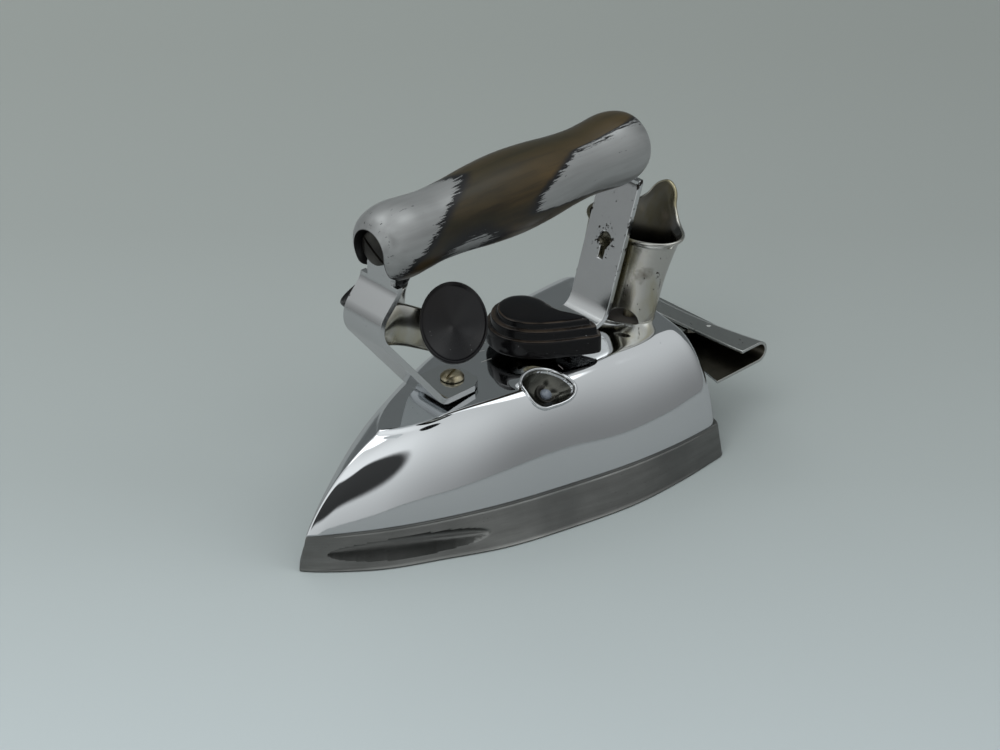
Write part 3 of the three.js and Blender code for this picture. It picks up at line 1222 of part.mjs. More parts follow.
[['port', -1], ['starboard', 1]].forEach(([name, side]) => {
  const postBase = RIM_TOP + SEAT_GAP;
  const postTop = neckBaseZ - SEAT_GAP;
  const bore = SMALL_SCREW_RADIUS + BORE_GAP;
  add(`heel_post_${name}`, turned([
    [0, postBase], [HEEL_POST_RADIUS, postBase], [HEEL_POST_RADIUS, postTop], [bore, postTop],
    [bore, postTop - SMALL_SCREW_LENGTH], [0, postTop - SMALL_SCREW_LENGTH],
  ], SMALL_SIDES), FINISH.steel).position.set(heelPostX, side * HEEL_POST_OUT, 0);
  add(`heel_screw_${name}`, screw(SMALL_SCREW_RADIUS, SMALL_SCREW_LENGTH, SMALL_HEAD_RADIUS, SMALL_HEAD_HEIGHT),
    FINISH.steel).position.set(heelPostX, side * HEEL_POST_OUT, neckTopZ + SEAT_GAP);
  const rivetTop = upperSheetZ + HEEL_SHEET / 2 + SEAT_GAP;
  add(`heel_rivet_${name}`, turned([
    [0, neckBaseZ - SEAT_GAP - RIVET_HEAD_HEIGHT], [RIVET_HEAD_RADIUS, neckBaseZ - SEAT_GAP - RIVET_HEAD_HEIGHT],
    [RIVET_HEAD_RADIUS, neckBaseZ - SEAT_GAP], [RIVET_RADIUS, neckBaseZ - SEAT_GAP], [RIVET_RADIUS, rivetTop],
    [RIVET_HEAD_RADIUS, rivetTop], [RIVET_HEAD_RADIUS * 0.7, rivetTop + RIVET_HEAD_HEIGHT * 0.7],
    [0, rivetTop + RIVET_HEAD_HEIGHT],
  ], SMALL_SIDES), FINISH.steel).position.set(heelRivetX, side * heelRivetOut, 0);
});

export default group;
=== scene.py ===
import json
import math

import bmesh
import bpy
import numpy as np
from mathutils import Matrix, Vector


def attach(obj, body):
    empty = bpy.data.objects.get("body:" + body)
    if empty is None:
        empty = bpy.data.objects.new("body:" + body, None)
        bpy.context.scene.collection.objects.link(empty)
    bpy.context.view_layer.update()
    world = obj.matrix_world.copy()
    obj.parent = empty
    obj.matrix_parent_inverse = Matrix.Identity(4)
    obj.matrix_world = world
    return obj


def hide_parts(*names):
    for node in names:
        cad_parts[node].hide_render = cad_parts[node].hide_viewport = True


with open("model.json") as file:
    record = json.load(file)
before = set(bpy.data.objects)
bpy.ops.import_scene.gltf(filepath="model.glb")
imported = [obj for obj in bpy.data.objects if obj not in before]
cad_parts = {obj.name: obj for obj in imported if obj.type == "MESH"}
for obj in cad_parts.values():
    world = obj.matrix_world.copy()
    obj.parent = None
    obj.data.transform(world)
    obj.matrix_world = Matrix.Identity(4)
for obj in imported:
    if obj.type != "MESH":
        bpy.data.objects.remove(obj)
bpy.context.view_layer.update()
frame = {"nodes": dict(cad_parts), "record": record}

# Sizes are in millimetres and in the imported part's frame, and become metres as a mesh is made.
# The front is toward -X and port toward -Y. Places in a material's nodes are in metres.
MM = 0.001
SEAT_GAP = 0.3

SOLE_LENGTH, SOLE_WIDTH, SOLE_THICKNESS = 170.0, 103.0, 13.0
NOSE_X, HEEL_X = -SOLE_LENGTH / 2, SOLE_LENGTH / 2
SOLE_NOSE_RAKE, SOLE_SIDE_FLARE, HEEL_BOW = 3.4, 4.5, 7.0
DECK_HEIGHT, DECK_NOSE_DROP, DECK_EASE = 47.5, 6.0, 4.5
DECK_APEX_X, DECK_HEEL_X, DECK_WIDTH, DECK_HEEL_BOW = -49.0, 78.0, 57.0, 3.0
SHOULDER_DROP, SHOULDER_INSET = 1.1, 3.6
SHELL_BASE, SHELL_WALL = SOLE_THICKNESS + SEAT_GAP, 1.2
LEAN = math.tan(0.31)
STRAP_WIDTH, STRAP_THICKNESS, TONGUE_WIDTH = 19.0, 2.2, 12.0
HANDLE_HEIGHT, HANDLE_LENGTH, HANDLE_RADIUS, HANDLE_FRONT_X = 113.0, 127.0, 14.9, -50.0
NOTCH_RADIUS = 7.5
FRONT_KNEE_X, FRONT_POST_X, FOOT_LENGTH = -25.0, -13.0, 19.0
REAR_KNEE_X, REAR_FOOT_LENGTH, KEYHOLE_Z = 54.5, 18.0, 77.0
REAR_FOOT_Z = DECK_HEIGHT + SEAT_GAP + STRAP_THICKNESS / 2
DIAL_X, DIAL_BASE = 27.0, REAR_FOOT_Z + STRAP_THICKNESS / 2 + 0.7
DIAL_LEDGES = (6.84, 10.1, 12.3)

# Level directions to the right of the line of sight and away along it
ACROSS, AWAY = np.array([0.7314, -0.6820]), np.array([0.6820, 0.7314])

SOLE_SHARES = [(0, 0), (0.031, 0.107), (0.135, 0.371), (0.258, 0.569), (0.387, 0.757),
               (0.534, 0.883), (0.7, 0.984), (0.847, 1), (1, 0.973)]
RIM_SHARES = [(0, 0), (0.03, 0.075), (0.1475, 0.32), (0.2725, 0.52), (0.41, 0.69),
              (0.566, 0.83), (0.729, 0.947), (0.866, 0.996), (1, 1)]
DECK_SHARES = [(0, 0), (0.04, 0.17), (0.1, 0.33), (0.22, 0.52), (0.36, 0.72),
               (0.55, 0.9), (0.74, 0.955), (0.88, 0.985), (1, 1)]
HANDLE_SHARES = [(0.004, 0.5), (0.025, 0.74), (0.06, 0.87), (0.105, 0.915), (0.16, 0.88), (0.22, 0.845),
                 (0.3, 0.875), (0.4, 0.96), (0.5, 1)]
DIAL_SHARES = [(-0.194, 1), (-0.236, 0.825), (-0.278, 0.722), (-0.347, 0.658), (-0.417, 0.658), (-0.5, 0.677),
               (-0.583, 0.669), (-0.667, 0.64), (-0.75, 0.571), (-0.833, 0.474), (-0.917, 0.387),
               (-1, 0.35), (-1.069, 0.361), (-1.125, 0.482), (-1.163, 0.88)]


# Curves and grids

def catmull(points, count, closed=False, power=0.25):
    """Centripetal curve through points, count steps in all; power 0 makes it uniform."""
    p = np.array(points, float)
    before, after = (p[-1:], p[:2]) if closed else (2 * p[0] - p[1], 2 * p[-1] - p[-2])
    p = np.vstack([before, p, after])
    spans = len(p) - 3
    out = []
    for k in range(count if closed else count + 1):
        i = min(int(k / count * spans), spans - 1)
        w = k / count * spans - i
        a, b, c, d = p[i:i + 4]
        t0, t1, t2 = (max(float((v - u) @ (v - u)), 1e-8) ** power for u, v in ((a, b), (b, c), (c, d)))
        m1 = ((b - a) / t0 - (c - a) / (t0 + t1) + (c - b) / t1) * t1
        m2 = ((c - b) / t1 - (d - b) / (t1 + t2) + (d - c) / t2) * t1
        out.append(b + m1 * w + (-3 * b + 3 * c - 2 * m1 - m2) * w**2 + (2 * b - 2 * c + m1 + m2) * w**3)
    return np.array(out)


def smoothstep(low, high, x):
    t = np.clip((x - low) / (high - low), 0, 1)
    return t * t * (3 - 2 * t)


def soft_min(a, b, k):
    """Lesser of two values, blended where they differ by less than k."""
    h = np.clip(0.5 + 0.5 * (b - a) / k, 0, 1)
    return b * (1 - h) + a * h - k * h * (1 - h)


def unit(rows):
    """Vectors scaled to length one."""
    return rows / np.linalg.norm(rows, axis=-1, keepdims=True)


def full_turn(sides):
    return np.linspace(0, 2 * math.pi, sides, endpoint=False)


def grid_faces(rows, columns):
    """Quads between rings of points, each ring closed."""
    faces = []
    for r in range(rows - 1):
        for c in range(columns):
            a, b = r * columns + c, r * columns + (c + 1) % columns
            faces.append((a, b, b + columns, a + columns))
    return faces


def capped(rows, columns):
    """Quads between rings of points, with the first and the last ring filled."""
    last = (rows - 1) * columns
    return grid_faces(rows, columns) + [tuple(range(columns)), tuple(range(last, last + columns))]


def turned(profile, sides, scale=(1.0, 1.0), caps=True):
    """Points and faces of a form turned about Z from (radius, height) points."""
    turns = full_turn(sides)
    rings = [np.column_stack([r * np.cos(turns) * scale[0], r * np.sin(turns) * scale[1], np.full(sides, h)])
             for r, h in profile]
    return np.vstack(rings), (capped if caps else grid_faces)(len(rings), sides)


def sheet_loop(path, thickness):
    """Section of a bent sheet, a closed loop about its centre line."""
    line = np.array(path)
    ahead = unit(np.vstack([line[1:], line[-1:]]) - np.vstack([line[:1], line[:-1]]))
    side = np.column_stack([-ahead[:, 1], ahead[:, 0]]) * thickness / 2
    return np.vstack([line + side, (line - side)[::-1]])


def sheet_end(count, first):
    """Quads that fill the section of a bent sheet whose loop of points begins at first."""
    return [tuple(first + k for k in (i, i + 1, count - 2 - i, count - 1 - i)) for i in range(count // 2 - 1)]


def rounded(points, radii, steps):
    """Side-view path of (x, z) points with each inner corner rounded by its radius."""
    p = [np.array(q, float) for q in points]
    out = [p[0]]
    for i, radius in enumerate(radii, 1):
        before, after = p[i - 1] - p[i], p[i + 1] - p[i]
        half = math.acos(float(np.clip(unit(before) @ unit(after), -1, 1))) / 2
        trim = min(radius / math.tan(half), np.linalg.norm(before) * 0.49, np.linalg.norm(after) * 0.49)
        a, b = p[i] + unit(before) * trim, p[i] + unit(after) * trim
        for t in np.linspace(0, 1, steps + 1):
            out.append(a * (1 - t) ** 2 + p[i] * 2 * t * (1 - t) + b * t**2)
    out.append(p[-1])
    return np.array(out)


# Meshes and objects

def link(name, data):
    obj = bpy.data.objects.new(name, data)
    bpy.context.scene.collection.objects.link(obj)
    return obj


def raw_mesh(name, verts, faces, merge=0.0):
    """Mesh from millimetre points, its faces turned outward and points without a face left out."""
    mesh = bpy.data.meshes.new(name)
    mesh.from_pydata([tuple(v) for v in np.asarray(verts, float) * MM], [], faces)
    bm = bmesh.new()
    bm.from_mesh(mesh)
    if merge:
        bmesh.ops.remove_doubles(bm, verts=bm.verts, dist=merge * MM)
    bmesh.ops.delete(bm, geom=[v for v in bm.verts if not v.link_faces], context="VERTS")
    bmesh.ops.recalc_face_normals(bm, faces=bm.faces)
    bm.to_mesh(mesh)
    bm.free()
    return mesh


def shade(mesh, sharp):
    mesh.shade_smooth()
    mesh.set_sharp_from_angle(angle=math.radians(sharp))


def piece(name, verts, faces, material, body="body", replaces=(), sharp=40, merge=0.0):
    """Mesh object from millimetre points, smooth but for edges over the sharp angle."""
    mesh = raw_mesh(name, verts, faces, merge)
    shade(mesh, sharp)
    mesh.materials.append(material)
    obj = link(name, mesh)
    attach(obj, body)
    if replaces:
        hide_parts(*replaces)
    return obj


def bevel(obj, width, segments=3, angle=35):
    mod = obj.modifiers.new("edges", "BEVEL")
    mod.width = width * MM
    mod.segments = segments
    mod.limit_method = "ANGLE"
    mod.angle_limit = math.radians(angle)
    mod.harden_normals = False


def thicken(obj, wall):
    """Gives a sheet its wall, inward from its outer face."""
    mod = obj.modifiers.new("wall", "SOLIDIFY")
    mod.thickness = wall * MM
    mod.offset = -1
    return mod


def carve(obj, tools, sharp):
    """Subtracts closed tools, each (verts, faces), and keeps the result as the piece's own mesh."""
    made = []
    for verts, faces in tools:
        tool = link("tool", raw_mesh("tool", verts, faces))
        mod = obj.modifiers.new("cut", "BOOLEAN")
        mod.operation = "DIFFERENCE"
        mod.solver = "EXACT"
        mod.object = tool
        made.append(tool)
    graph = bpy.context.evaluated_depsgraph_get()
    mesh = bpy.data.meshes.new_from_object(obj.evaluated_get(graph))
    obj.modifiers.clear()
    obj.data = mesh
    for tool in made:
        bpy.data.objects.remove(tool)
    shade(mesh, sharp)


def cylinder(start, end, radius, sides=48):
    """Closed round tool between two points."""
    start, end = np.array(start, float), np.array(end, float)
    axis = unit(end - start)
    side = unit(np.cross(axis, (0, 0, 1) if abs(axis[2]) < 0.9 else (1, 0, 0)))
    turns = full_turn(sides)
    ring = (np.outer(np.cos(turns), side) + np.outer(np.sin(turns), np.cross(axis, side))) * radius
    return np.vstack([start + ring, end + ring]), capped(2, sides)


def prism(outline, low, high, upright=False):
    """Closed tool from an outline of (y, z) points swept along X, or of (x, y) points swept upright."""
    if upright:
        verts = [(x, y, z) for z in (low, high) for x, y in outline]
    else:
        verts = [(x, y, z) for x in (low, high) for y, z in outline]
    return verts, capped(2, len(outline))


BLOCK_FACES = [(0, 1, 2, 3), (4, 5, 6, 7), (0, 1, 5, 4), (1, 2, 6, 5), (2, 3, 7, 6), (3, 0, 4, 7)]


def block(low, high):
    """Closed box between two corners."""
    (a, b, c), (d, e, f) = low, high
    return [(x, y, z) for z in (c, f) for x, y in ((a, b), (d, b), (d, e), (a, e))], BLOCK_FACES


# Material nodes

class Nodes:
    """Short calls that make and wire the nodes of one tree."""

    def __init__(self, tree, coordinates):
        self.tree = tree
        self.place = self.node("ShaderNodeTexCoord").outputs[coordinates]

    def node(self, kind, **settings):
        made = self.tree.nodes.new(kind)
        for key, value in settings.items():
            setattr(made, key, value)
        return made

    def wire(self, value, socket):
        if isinstance(value, bpy.types.NodeSocket):
            self.tree.links.new(value, socket)
        else:
            socket.default_value = value

    def fill(self, made, **inputs):
        """Sets or wires inputs, an underscore in a name standing for a space."""
        for key, value in inputs.items():
            self.wire(value, made.inputs[key.replace("_", " ")])
        return made

    def math(self, operation, a, b=0.0):
        made = self.node("ShaderNodeMath", operation=operation)
        self.wire(a, made.inputs[0])
        self.wire(b, made.inputs[1])
        return made.outputs[0]

    def add(self, a, b):
        return self.math("ADD", a, b)

    def minus(self, a, b):
        return self.math("SUBTRACT", a, b)

    def times(self, a, b):
        return self.math("MULTIPLY", a, b)

    def far(self, a, b):
        """Distance of the point (a, b) from zero."""
        return self.math("POWER", self.add(self.times(a, a), self.times(b, b)), 0.5)

    def span(self, value, low, high, to_low=0.0, to_high=1.0, kind="LINEAR"):
        made = self.node("ShaderNodeMapRange", clamp=True, interpolation_type=kind)
        self.fill(made, Value=value, From_Min=low, From_Max=high, To_Min=to_low, To_Max=to_high)
        return made.outputs["Result"]


class Paint(Nodes):
    """A material and the textures of its nodes."""

    def __init__(self, name):
        self.material = bpy.data.materials.new(name)
        self.material.use_nodes = True
        super().__init__(self.material.node_tree, "Object")
        self.shader = self.tree.nodes["Principled BSDF"]

    def axes(self):
        """X, Y and Z of the shaded point."""
        return self.fill(self.node("ShaderNodeSeparateXYZ"), Vector=self.place).outputs

    def at(self, stretch, offset):
        mapping = self.node("ShaderNodeMapping")
        return self.fill(mapping, Vector=self.place, Scale=stretch, Location=offset).outputs["Vector"]

    def noise(self, scale, detail=3.0, stretch=(1, 1, 1), offset=(0, 0, 0), roughness=0.5):
        made = self.node("ShaderNodeTexNoise")
        self.fill(made, Vector=self.at(stretch, offset), Scale=scale, Detail=detail, Roughness=roughness)
        return made.outputs["Fac"]

    def dots(self, scale):
        made = self.node("ShaderNodeTexVoronoi")
        return self.fill(made, Vector=self.at((1, 1, 1), (0, 0, 0)), Scale=scale).outputs["Distance"]

    def wobble(self, noise, reach):
        """Noise about zero."""
        return self.times(self.minus(noise, 0.5), reach)

    def mix(self, share, a, b):
        made = self.node("ShaderNodeMix", data_type="RGBA")
        return self.fill(made, Factor=share, A=a, B=b).outputs["Result"]

    def attribute(self, name):
        return self.node("ShaderNodeAttribute", attribute_name=name).outputs["Fac"]

    def bump(self, height, strength, distance=0.0005, under=None):
        made = self.fill(self.node("ShaderNodeBump"), Height=height, Strength=strength, Distance=distance)
        if under is not None:
            self.fill(made, Normal=under)
        return made.outputs["Normal"]

    def set(self, color, roughness, **inputs):
        self.fill(self.shader, Base_Color=color, Roughness=roughness, **inputs)
        return self.material


def rgb(r, g, b):
    return (r, g, b, 1.0)


def chrome_paint(name, tint, low, high, pits, wave=0.03, wear=None):
    """Polished metal with faint waves and hazy patches; pits is the share of small ragged marks, and wear
    adds marks of its own."""
    p = Paint(name)
    haze = p.span(p.noise(38, 5, roughness=0.6), 0.35, 0.7, low, high)
    marks = p.noise(620, 4, roughness=0.62)
    edge = 0.76 - pits
    if wear is not None:
        edge = p.minus(edge, wear(p))
    spot = p.span(p.minus(marks, edge), 0.0, 0.02)
    wide = p.span(p.noise(14, 2, offset=(0.3, 0.1, 0.7)), 0.3, 0.7)
    shade_tint = p.mix(wide, rgb(*(c * 0.95 for c in tint[:3])), tint)
    waves = p.bump(p.noise(22, 1), wave, 0.002)
    return p.set(p.mix(spot, shade_tint, rgb(0.05, 0.045, 0.04)), p.add(haze, p.times(spot, 0.35)),
                 Metallic=1.0, Normal=p.bump(p.noise(900, 2), 0.01, 0.0002, waves))


# Where wear starts and ends: x of the rear strap, distances from the keyhole and from the middle, and height
REAR_STRAP_FROM, KEY_WEAR = (0.030, 0.031), (0.003, 0.0085)
EDGE_WEAR, HIGH_WEAR = (0.0078, 0.0093), (0.08, 0.1)


def strap_wear(p):
    """More chips by the keyhole, along both edges and up by the handle, and few on the front strap."""
    x, y, z = p.axes()
    key = p.far(p.minus(z, KEYHOLE_Z * MM), y)
    near_key = p.times(p.span(key, *KEY_WEAR, 0.24, 0.0), p.span(x, *REAR_STRAP_FROM))
    edges = p.span(p.math("ABSOLUTE", y), *EDGE_WEAR, 0.0, 0.15)
    high = p.span(z, *HIGH_WEAR, 0.0, 0.17)
    broad = p.span(p.noise(55, 2, offset=(0.4, 0.2, 0)), 0.35, 0.65, 0.35, 1.0)
    rear = p.span(x, *REAR_STRAP_FROM, 0.3, 1.0)
    return p.times(p.add(p.add(near_key, edges), high), p.times(broad, rear))


def cast_paint():
    """Grey satin metal of the sole plate, brushed along its edge, with darker stains and fine pits."""
    p = Paint("sole_metal")
    brushed = p.noise(160, 6, stretch=(0.16, 0.16, 2.2), roughness=0.7)
    stain = p.span(p.noise(30, 5, offset=(0.2, 0, 0)), 0.35, 0.68)
    tone = p.mix(stain, rgb(0.17, 0.175, 0.17), rgb(0.27, 0.275, 0.265))
    tone = p.mix(p.span(brushed, 0.42, 0.7, 0.0, 0.5), tone, rgb(0.13, 0.13, 0.125))
    pit = p.span(p.dots(620), 0.0, 0.16, 1.0, 0.0)
    tone = p.mix(p.times(pit, p.span(p.noise(50), 0.5, 0.6)), tone, rgb(0.1, 0.1, 0.09))
    grain = p.bump(p.noise(420, 3), 0.1, 0.0003)
    return p.set(tone, p.span(p.noise(70, 4), 0.3, 0.7, 0.3, 0.48), Metallic=0.92,
                 Normal=p.bump(brushed, 0.16, 0.0003, grain))


# The guard's painted yellow highlight down its middle, and painted shade on its side toward the rear strap,
# standing for that strap's dark reflection
GUARD_FROM, GUARD_SHEEN_Y, GUARD_SHEEN_REACH = (0.03, 0.04), -0.004, (0.002, 0.011)
GUARD_SHADE_LEAN, GUARD_SHADE_REACH = 0.234, (0.039, 0.0465)


def nickel_paint(name="worn_nickel", shade_factor=1.0):
    """Dull plating, mottled, yellow where it wears thin, with pits in clusters; on the guard a painted yellow
    highlight down the middle and painted shade on one side. Its second argument below one darkens it all as
    painted shade.
    """
    def tint(r, g, b):
        return rgb(r * shade_factor, g * shade_factor, b * shade_factor)

    p = Paint(name)
    blotch = p.noise(46, 6, stretch=(1, 1, 0.3), roughness=0.65)
    x, y, z = p.axes()
    on_guard = p.span(x, *GUARD_FROM)
    # Painted highlight: a yellow band down the guard's middle, on its side toward the camera
    middle = p.span(p.math("ABSOLUTE", p.minus(y, GUARD_SHEEN_Y)), *GUARD_SHEEN_REACH, 0.16, 0.0)
    # worn holds the real yellow wear of the mottling together with the painted highlight band
    worn = p.span(p.add(blotch, p.times(middle, on_guard)), 0.5, 0.68)
    # Painted shade: the guard's side toward the rear strap darkened, standing for the strap's dark reflection
    across = p.add(p.times(x, float(ACROSS[0])), p.times(y, float(ACROSS[1])))
    across = p.minus(across, p.times(p.minus(z, DECK_HEIGHT * MM), GUARD_SHADE_LEAN))
    painted_side_shade = p.times(p.span(across, *GUARD_SHADE_REACH, 0.8, 0.0), on_guard)
    tone = p.mix(worn, tint(0.58, 0.575, 0.54), tint(0.46, 0.42, 0.28))
    spots = p.span(p.noise(110, 5, offset=(0.5, 0, 0)), 0.60, 0.74, 0.0, 0.8)
    tone = p.mix(spots, tone, rgb(0.16, 0.14, 0.11))
    # painted shade on the guard's side toward the rear strap
    tone = p.mix(painted_side_shade, tone, tint(0.17, 0.15, 0.10))
    cluster = p.span(p.noise(48, 2, offset=(0.9, 0.1, 0)), 0.45, 0.65, 0.74, 0.60)
    pit = p.span(p.minus(p.noise(560, 4, roughness=0.65), cluster), 0.0, 0.02)
    rough = p.add(p.span(blotch, 0.35, 0.65, 0.15, 0.28), p.times(pit, 0.3))
    return p.set(p.mix(pit, tone, rgb(0.05, 0.045, 0.04)), rough, Metallic=1.0,
                 Normal=p.bump(p.noise(260, 4), 0.05, 0.0003))


def brass_paint():
    p = Paint("tarnished_brass")
    tone = p.mix(p.span(p.noise(180, 5), 0.4, 0.66), rgb(0.66, 0.60, 0.44), rgb(0.30, 0.25, 0.15))
    return p.set(tone, p.span(p.noise(240, 3), 0.3, 0.7, 0.22, 0.42), Metallic=1.0,
                 Normal=p.bump(p.noise(500, 2), 0.06, 0.0002))


LEDGE_LINE_DROP, LEDGE_LINE = 0.06, (0.00004, 0.00016)


def moulding_paint(name="black_moulding", rough=(0.16, 0.3), ledges=()):
    """Black moulding with dust and faint mottling; ledges are the dial's steps, with worn brown edges."""
    p = Paint(name)
    dust = p.span(p.noise(800, 3), 0.72, 0.76)
    tone = p.mix(p.span(p.noise(60, 4), 0.4, 0.7), rgb(0.004, 0.004, 0.005), rgb(0.007, 0.006, 0.006))
    tone = p.mix(p.times(dust, 0.5), tone, rgb(0.2, 0.2, 0.2))
    if ledges:
        height = p.minus(p.axes()["Z"], DIAL_BASE * MM)
        worn = 0.0
        for level in ledges:
            gap = p.math("ABSOLUTE", p.minus(height, (level - LEDGE_LINE_DROP) * MM))
            worn = p.add(worn, p.span(gap, *LEDGE_LINE, 1.0, 0.0))
        worn = p.times(worn, p.span(p.noise(140, 3), 0.4, 0.62, 0.25, 1.0))
        tone = p.mix(worn, tone, rgb(0.055, 0.042, 0.031))
    return p.set(tone, p.span(p.noise(90, 5), 0.3, 0.7, *rough), Specular_IOR_Level=0.26,
                 Normal=p.bump(p.noise(300, 2), 0.02, 0.0002))


# Front notch, bare of silver paint and painted near black inside as shade: distance from its axis, height and
# x where the silver paint begins
NOTCH_SHADE_EDGE = ((NOTCH_RADIUS + 0.05) * MM, (NOTCH_RADIUS + 0.3) * MM)
NOTCH_SHADE_TOP = ((HANDLE_HEIGHT - 0.5) * MM, (HANDLE_HEIGHT + 0.5) * MM)
NOTCH_SHADE_END = (-0.041, -0.040)


def wood_paint():
    """Silver paint worn through black undercoat to brown wood, with painted shade near black inside the front
    notch. The handle's
    points carry three values: paint is millimetres inside the painted zone, crest and chips are shares."""
    p = Paint("painted_wood")
    zone = p.attribute("paint")
    hairs = p.noise(1500, 4, stretch=(0.04, 1, 1), roughness=0.75)
    ragged = p.add(p.add(zone, p.wobble(hairs, 19.0)), p.wobble(p.noise(150, 4), 3.0))
    silver = p.span(ragged, 0.0, 0.5)
    black = p.span(p.add(zone, p.wobble(p.noise(120, 4), 6.0)), -6.5, -2.2)
    grain = p.noise(420, 6, stretch=(0.03, 1, 1), roughness=0.65)
    figure = p.noise(40, 4, stretch=(0.35, 1, 1), offset=(0.11, 0, 0))
    wood = p.mix(p.span(figure, 0.36, 0.66), rgb(0.022, 0.019, 0.011), rgb(0.092, 0.058, 0.021))
    wood = p.mix(p.span(grain, 0.46, 0.66, 0.0, 0.75), wood, rgb(0.016, 0.012, 0.008))
    wood = p.mix(p.span(p.attribute("crest"), 0.0, 1.0, 0.0, 0.7), wood, rgb(0.030, 0.027, 0.015))
    scratch = p.noise(520, 4, stretch=(0.2, 1, 1), offset=(0.3, 0.2, 0), roughness=0.65)
    chip = p.span(p.add(scratch, p.times(p.attribute("chips"), 0.13)), 0.70, 0.73)
    streak = p.span(p.noise(300, 4, stretch=(0.06, 1, 1)), 0.4, 0.7, 0.0, 0.6)
    paint = p.mix(streak, rgb(0.40, 0.41, 0.41), rgb(0.29, 0.295, 0.295))
    x, y, z = p.axes()
    # Inside of the front notch: no silver paint, and painted near black as shade
    away = p.span(p.far(y, p.minus(z, HANDLE_HEIGHT * MM)), *NOTCH_SHADE_EDGE, 1.0, 0.0)
    slot = p.span(p.math("ABSOLUTE", y), *NOTCH_SHADE_EDGE, 1.0, 0.0)
    slot = p.times(slot, p.span(z, *NOTCH_SHADE_TOP, 1.0, 0.0))
    notch = p.times(p.math("MAXIMUM", away, slot), p.span(x, *NOTCH_SHADE_END, 1.0, 0.0))
    shown = p.times(silver, p.minus(1.0, p.math("MAXIMUM", chip, notch)))
    under = p.mix(black, wood, rgb(0.011, 0.011, 0.012))
    # painted shade inside the front notch
    under = p.mix(notch, under, rgb(0.012, 0.012, 0.012))
    return p.set(p.mix(shown, under, paint), p.span(shown, 0.0, 1.0, 0.34, 0.38), Specular_IOR_Level=0.35,
                 Metallic=p.times(shown, 0.6),
                 Normal=p.bump(shown, 0.35, 0.00012, p.bump(grain, 0.12, 0.0003)))


def plain_paint(name, low, high, roughness, metallic=0.0, scale=120):
    """Two tones of one colour, softly mottled."""
    p = Paint(name)
    rough = p.span(p.noise(scale * 2, 3), 0.3, 0.7, roughness * 0.8, roughness * 1.2)
    return p.set(p.mix(p.span(p.noise(scale, 4), 0.35, 0.68), rgb(*low), rgb(*high)), rough,
                 Metallic=metallic, Normal=p.bump(p.noise(scale * 4, 3), 0.08, 0.0002))


def lens_paint():
    p = Paint("lamp_lens")
    tone = p.mix(p.span(p.noise(300, 2), 0.35, 0.65), rgb(0.20, 0.23, 0.28), rgb(0.34, 0.38, 0.44))
    return p.set(tone, 0.1, IOR=1.5, Transmission_Weight=0.3)


CHROME = chrome_paint("shell_chrome", rgb(0.79, 0.81, 0.83), 0.03, 0.075, 0.01)
CHIPPED = chrome_paint("strap_chrome", rgb(0.74, 0.755, 0.76), 0.10, 0.2, 0.03, wave=0.02, wear=strap_wear)
HEEL_CHROME = chrome_paint("heel_chrome", rgb(0.60, 0.615, 0.60), 0.16, 0.3, 0.09, wave=0.05)
CAST = cast_paint()
NICKEL = nickel_paint()
# Inside of the plug guard: the same nickel painted dark as shade
GUARD_INSIDE_SHADE = nickel_paint("guard_inside_shade", 0.2)
# Chrome of the lamp pocket's bowl painted dark as shade in the recess
POCKET_SHADE = chrome_paint("pocket_bowl_shade", rgb(0.13, 0.13, 0.115), 0.2, 0.32, 0.02)
# Chrome of the heel rest's inner side painted dark as shade in the fold
HEEL_INSIDE_SHADE = chrome_paint("heel_inside_shade", rgb(0.13, 0.12, 0.095), 0.3, 0.45, 0.09)
BRASS = brass_paint()
BLACK = moulding_paint()
DIAL_BLACK = moulding_paint("dial_moulding", (0.12, 0.22), DIAL_LEDGES)
WOOD = wood_paint()
STEEL = plain_paint("dark_steel", (0.20, 0.19, 0.175), (0.36, 0.34, 0.31), 0.38, 0.95)
DARK_STEEL = plain_paint("blackened_steel", (0.035, 0.033, 0.03), (0.10, 0.095, 0.085), 0.34, 0.85)
CERAMIC = plain_paint("ceramic", (0.05, 0.045, 0.04), (0.085, 0.078, 0.07), 0.6)
MICA = plain_paint("mica", (0.40, 0.34, 0.24), (0.62, 0.56, 0.44), 0.4)
SLEEVE = plain_paint("wire_sleeve", (0.45, 0.41, 0.33), (0.62, 0.58, 0.5), 0.8, scale=700)
LENS = lens_paint()
SCRATCH = plain_paint("engraved_line", (0.6, 0.6, 0.58), (0.8, 0.8, 0.78), 0.5, 0.7)


# Sole plate

SIDE_COUNT, HEEL_COUNT = 250, 46
HEEL_CORNER, NOSE_CORNER, NOSE_SHARE = 9.0, 7.0, 0.6
SOLE_ROUND, SOLE_PASSES, SOLE_CLOSE_SHARE = 0.8, 10, 0.9
SOLE_SIDE_LOW, SOLE_SIDE_HIGH, SOLE_SIDE_ROWS = 1.2, SOLE_THICKNESS - 1.0, 30
FACE_PULLS, TOP_PULLS = (70, 40, 18, 6, 1.4), (2, 6, 12)
NOOK_X, NOOK_Y, NOOK_Z, NOOK_TURN = NOSE_X + 34.0, 19.6, 6.2, math.pi / 6
NOOK_HALF_LENGTH, NOOK_HALF_HEIGHT, NOOK_DEPTH, NOOK_REACH, NOOK_EDGE = 29.0, 3.3, 4.0, 8.0, 0.35


def deck_height(x):
    along = np.clip((x - DECK_APEX_X) / (DECK_HEEL_X - DECK_APEX_X), 0, 1)
    return DECK_HEIGHT - DECK_NOSE_DROP * (1 - along) ** DECK_EASE


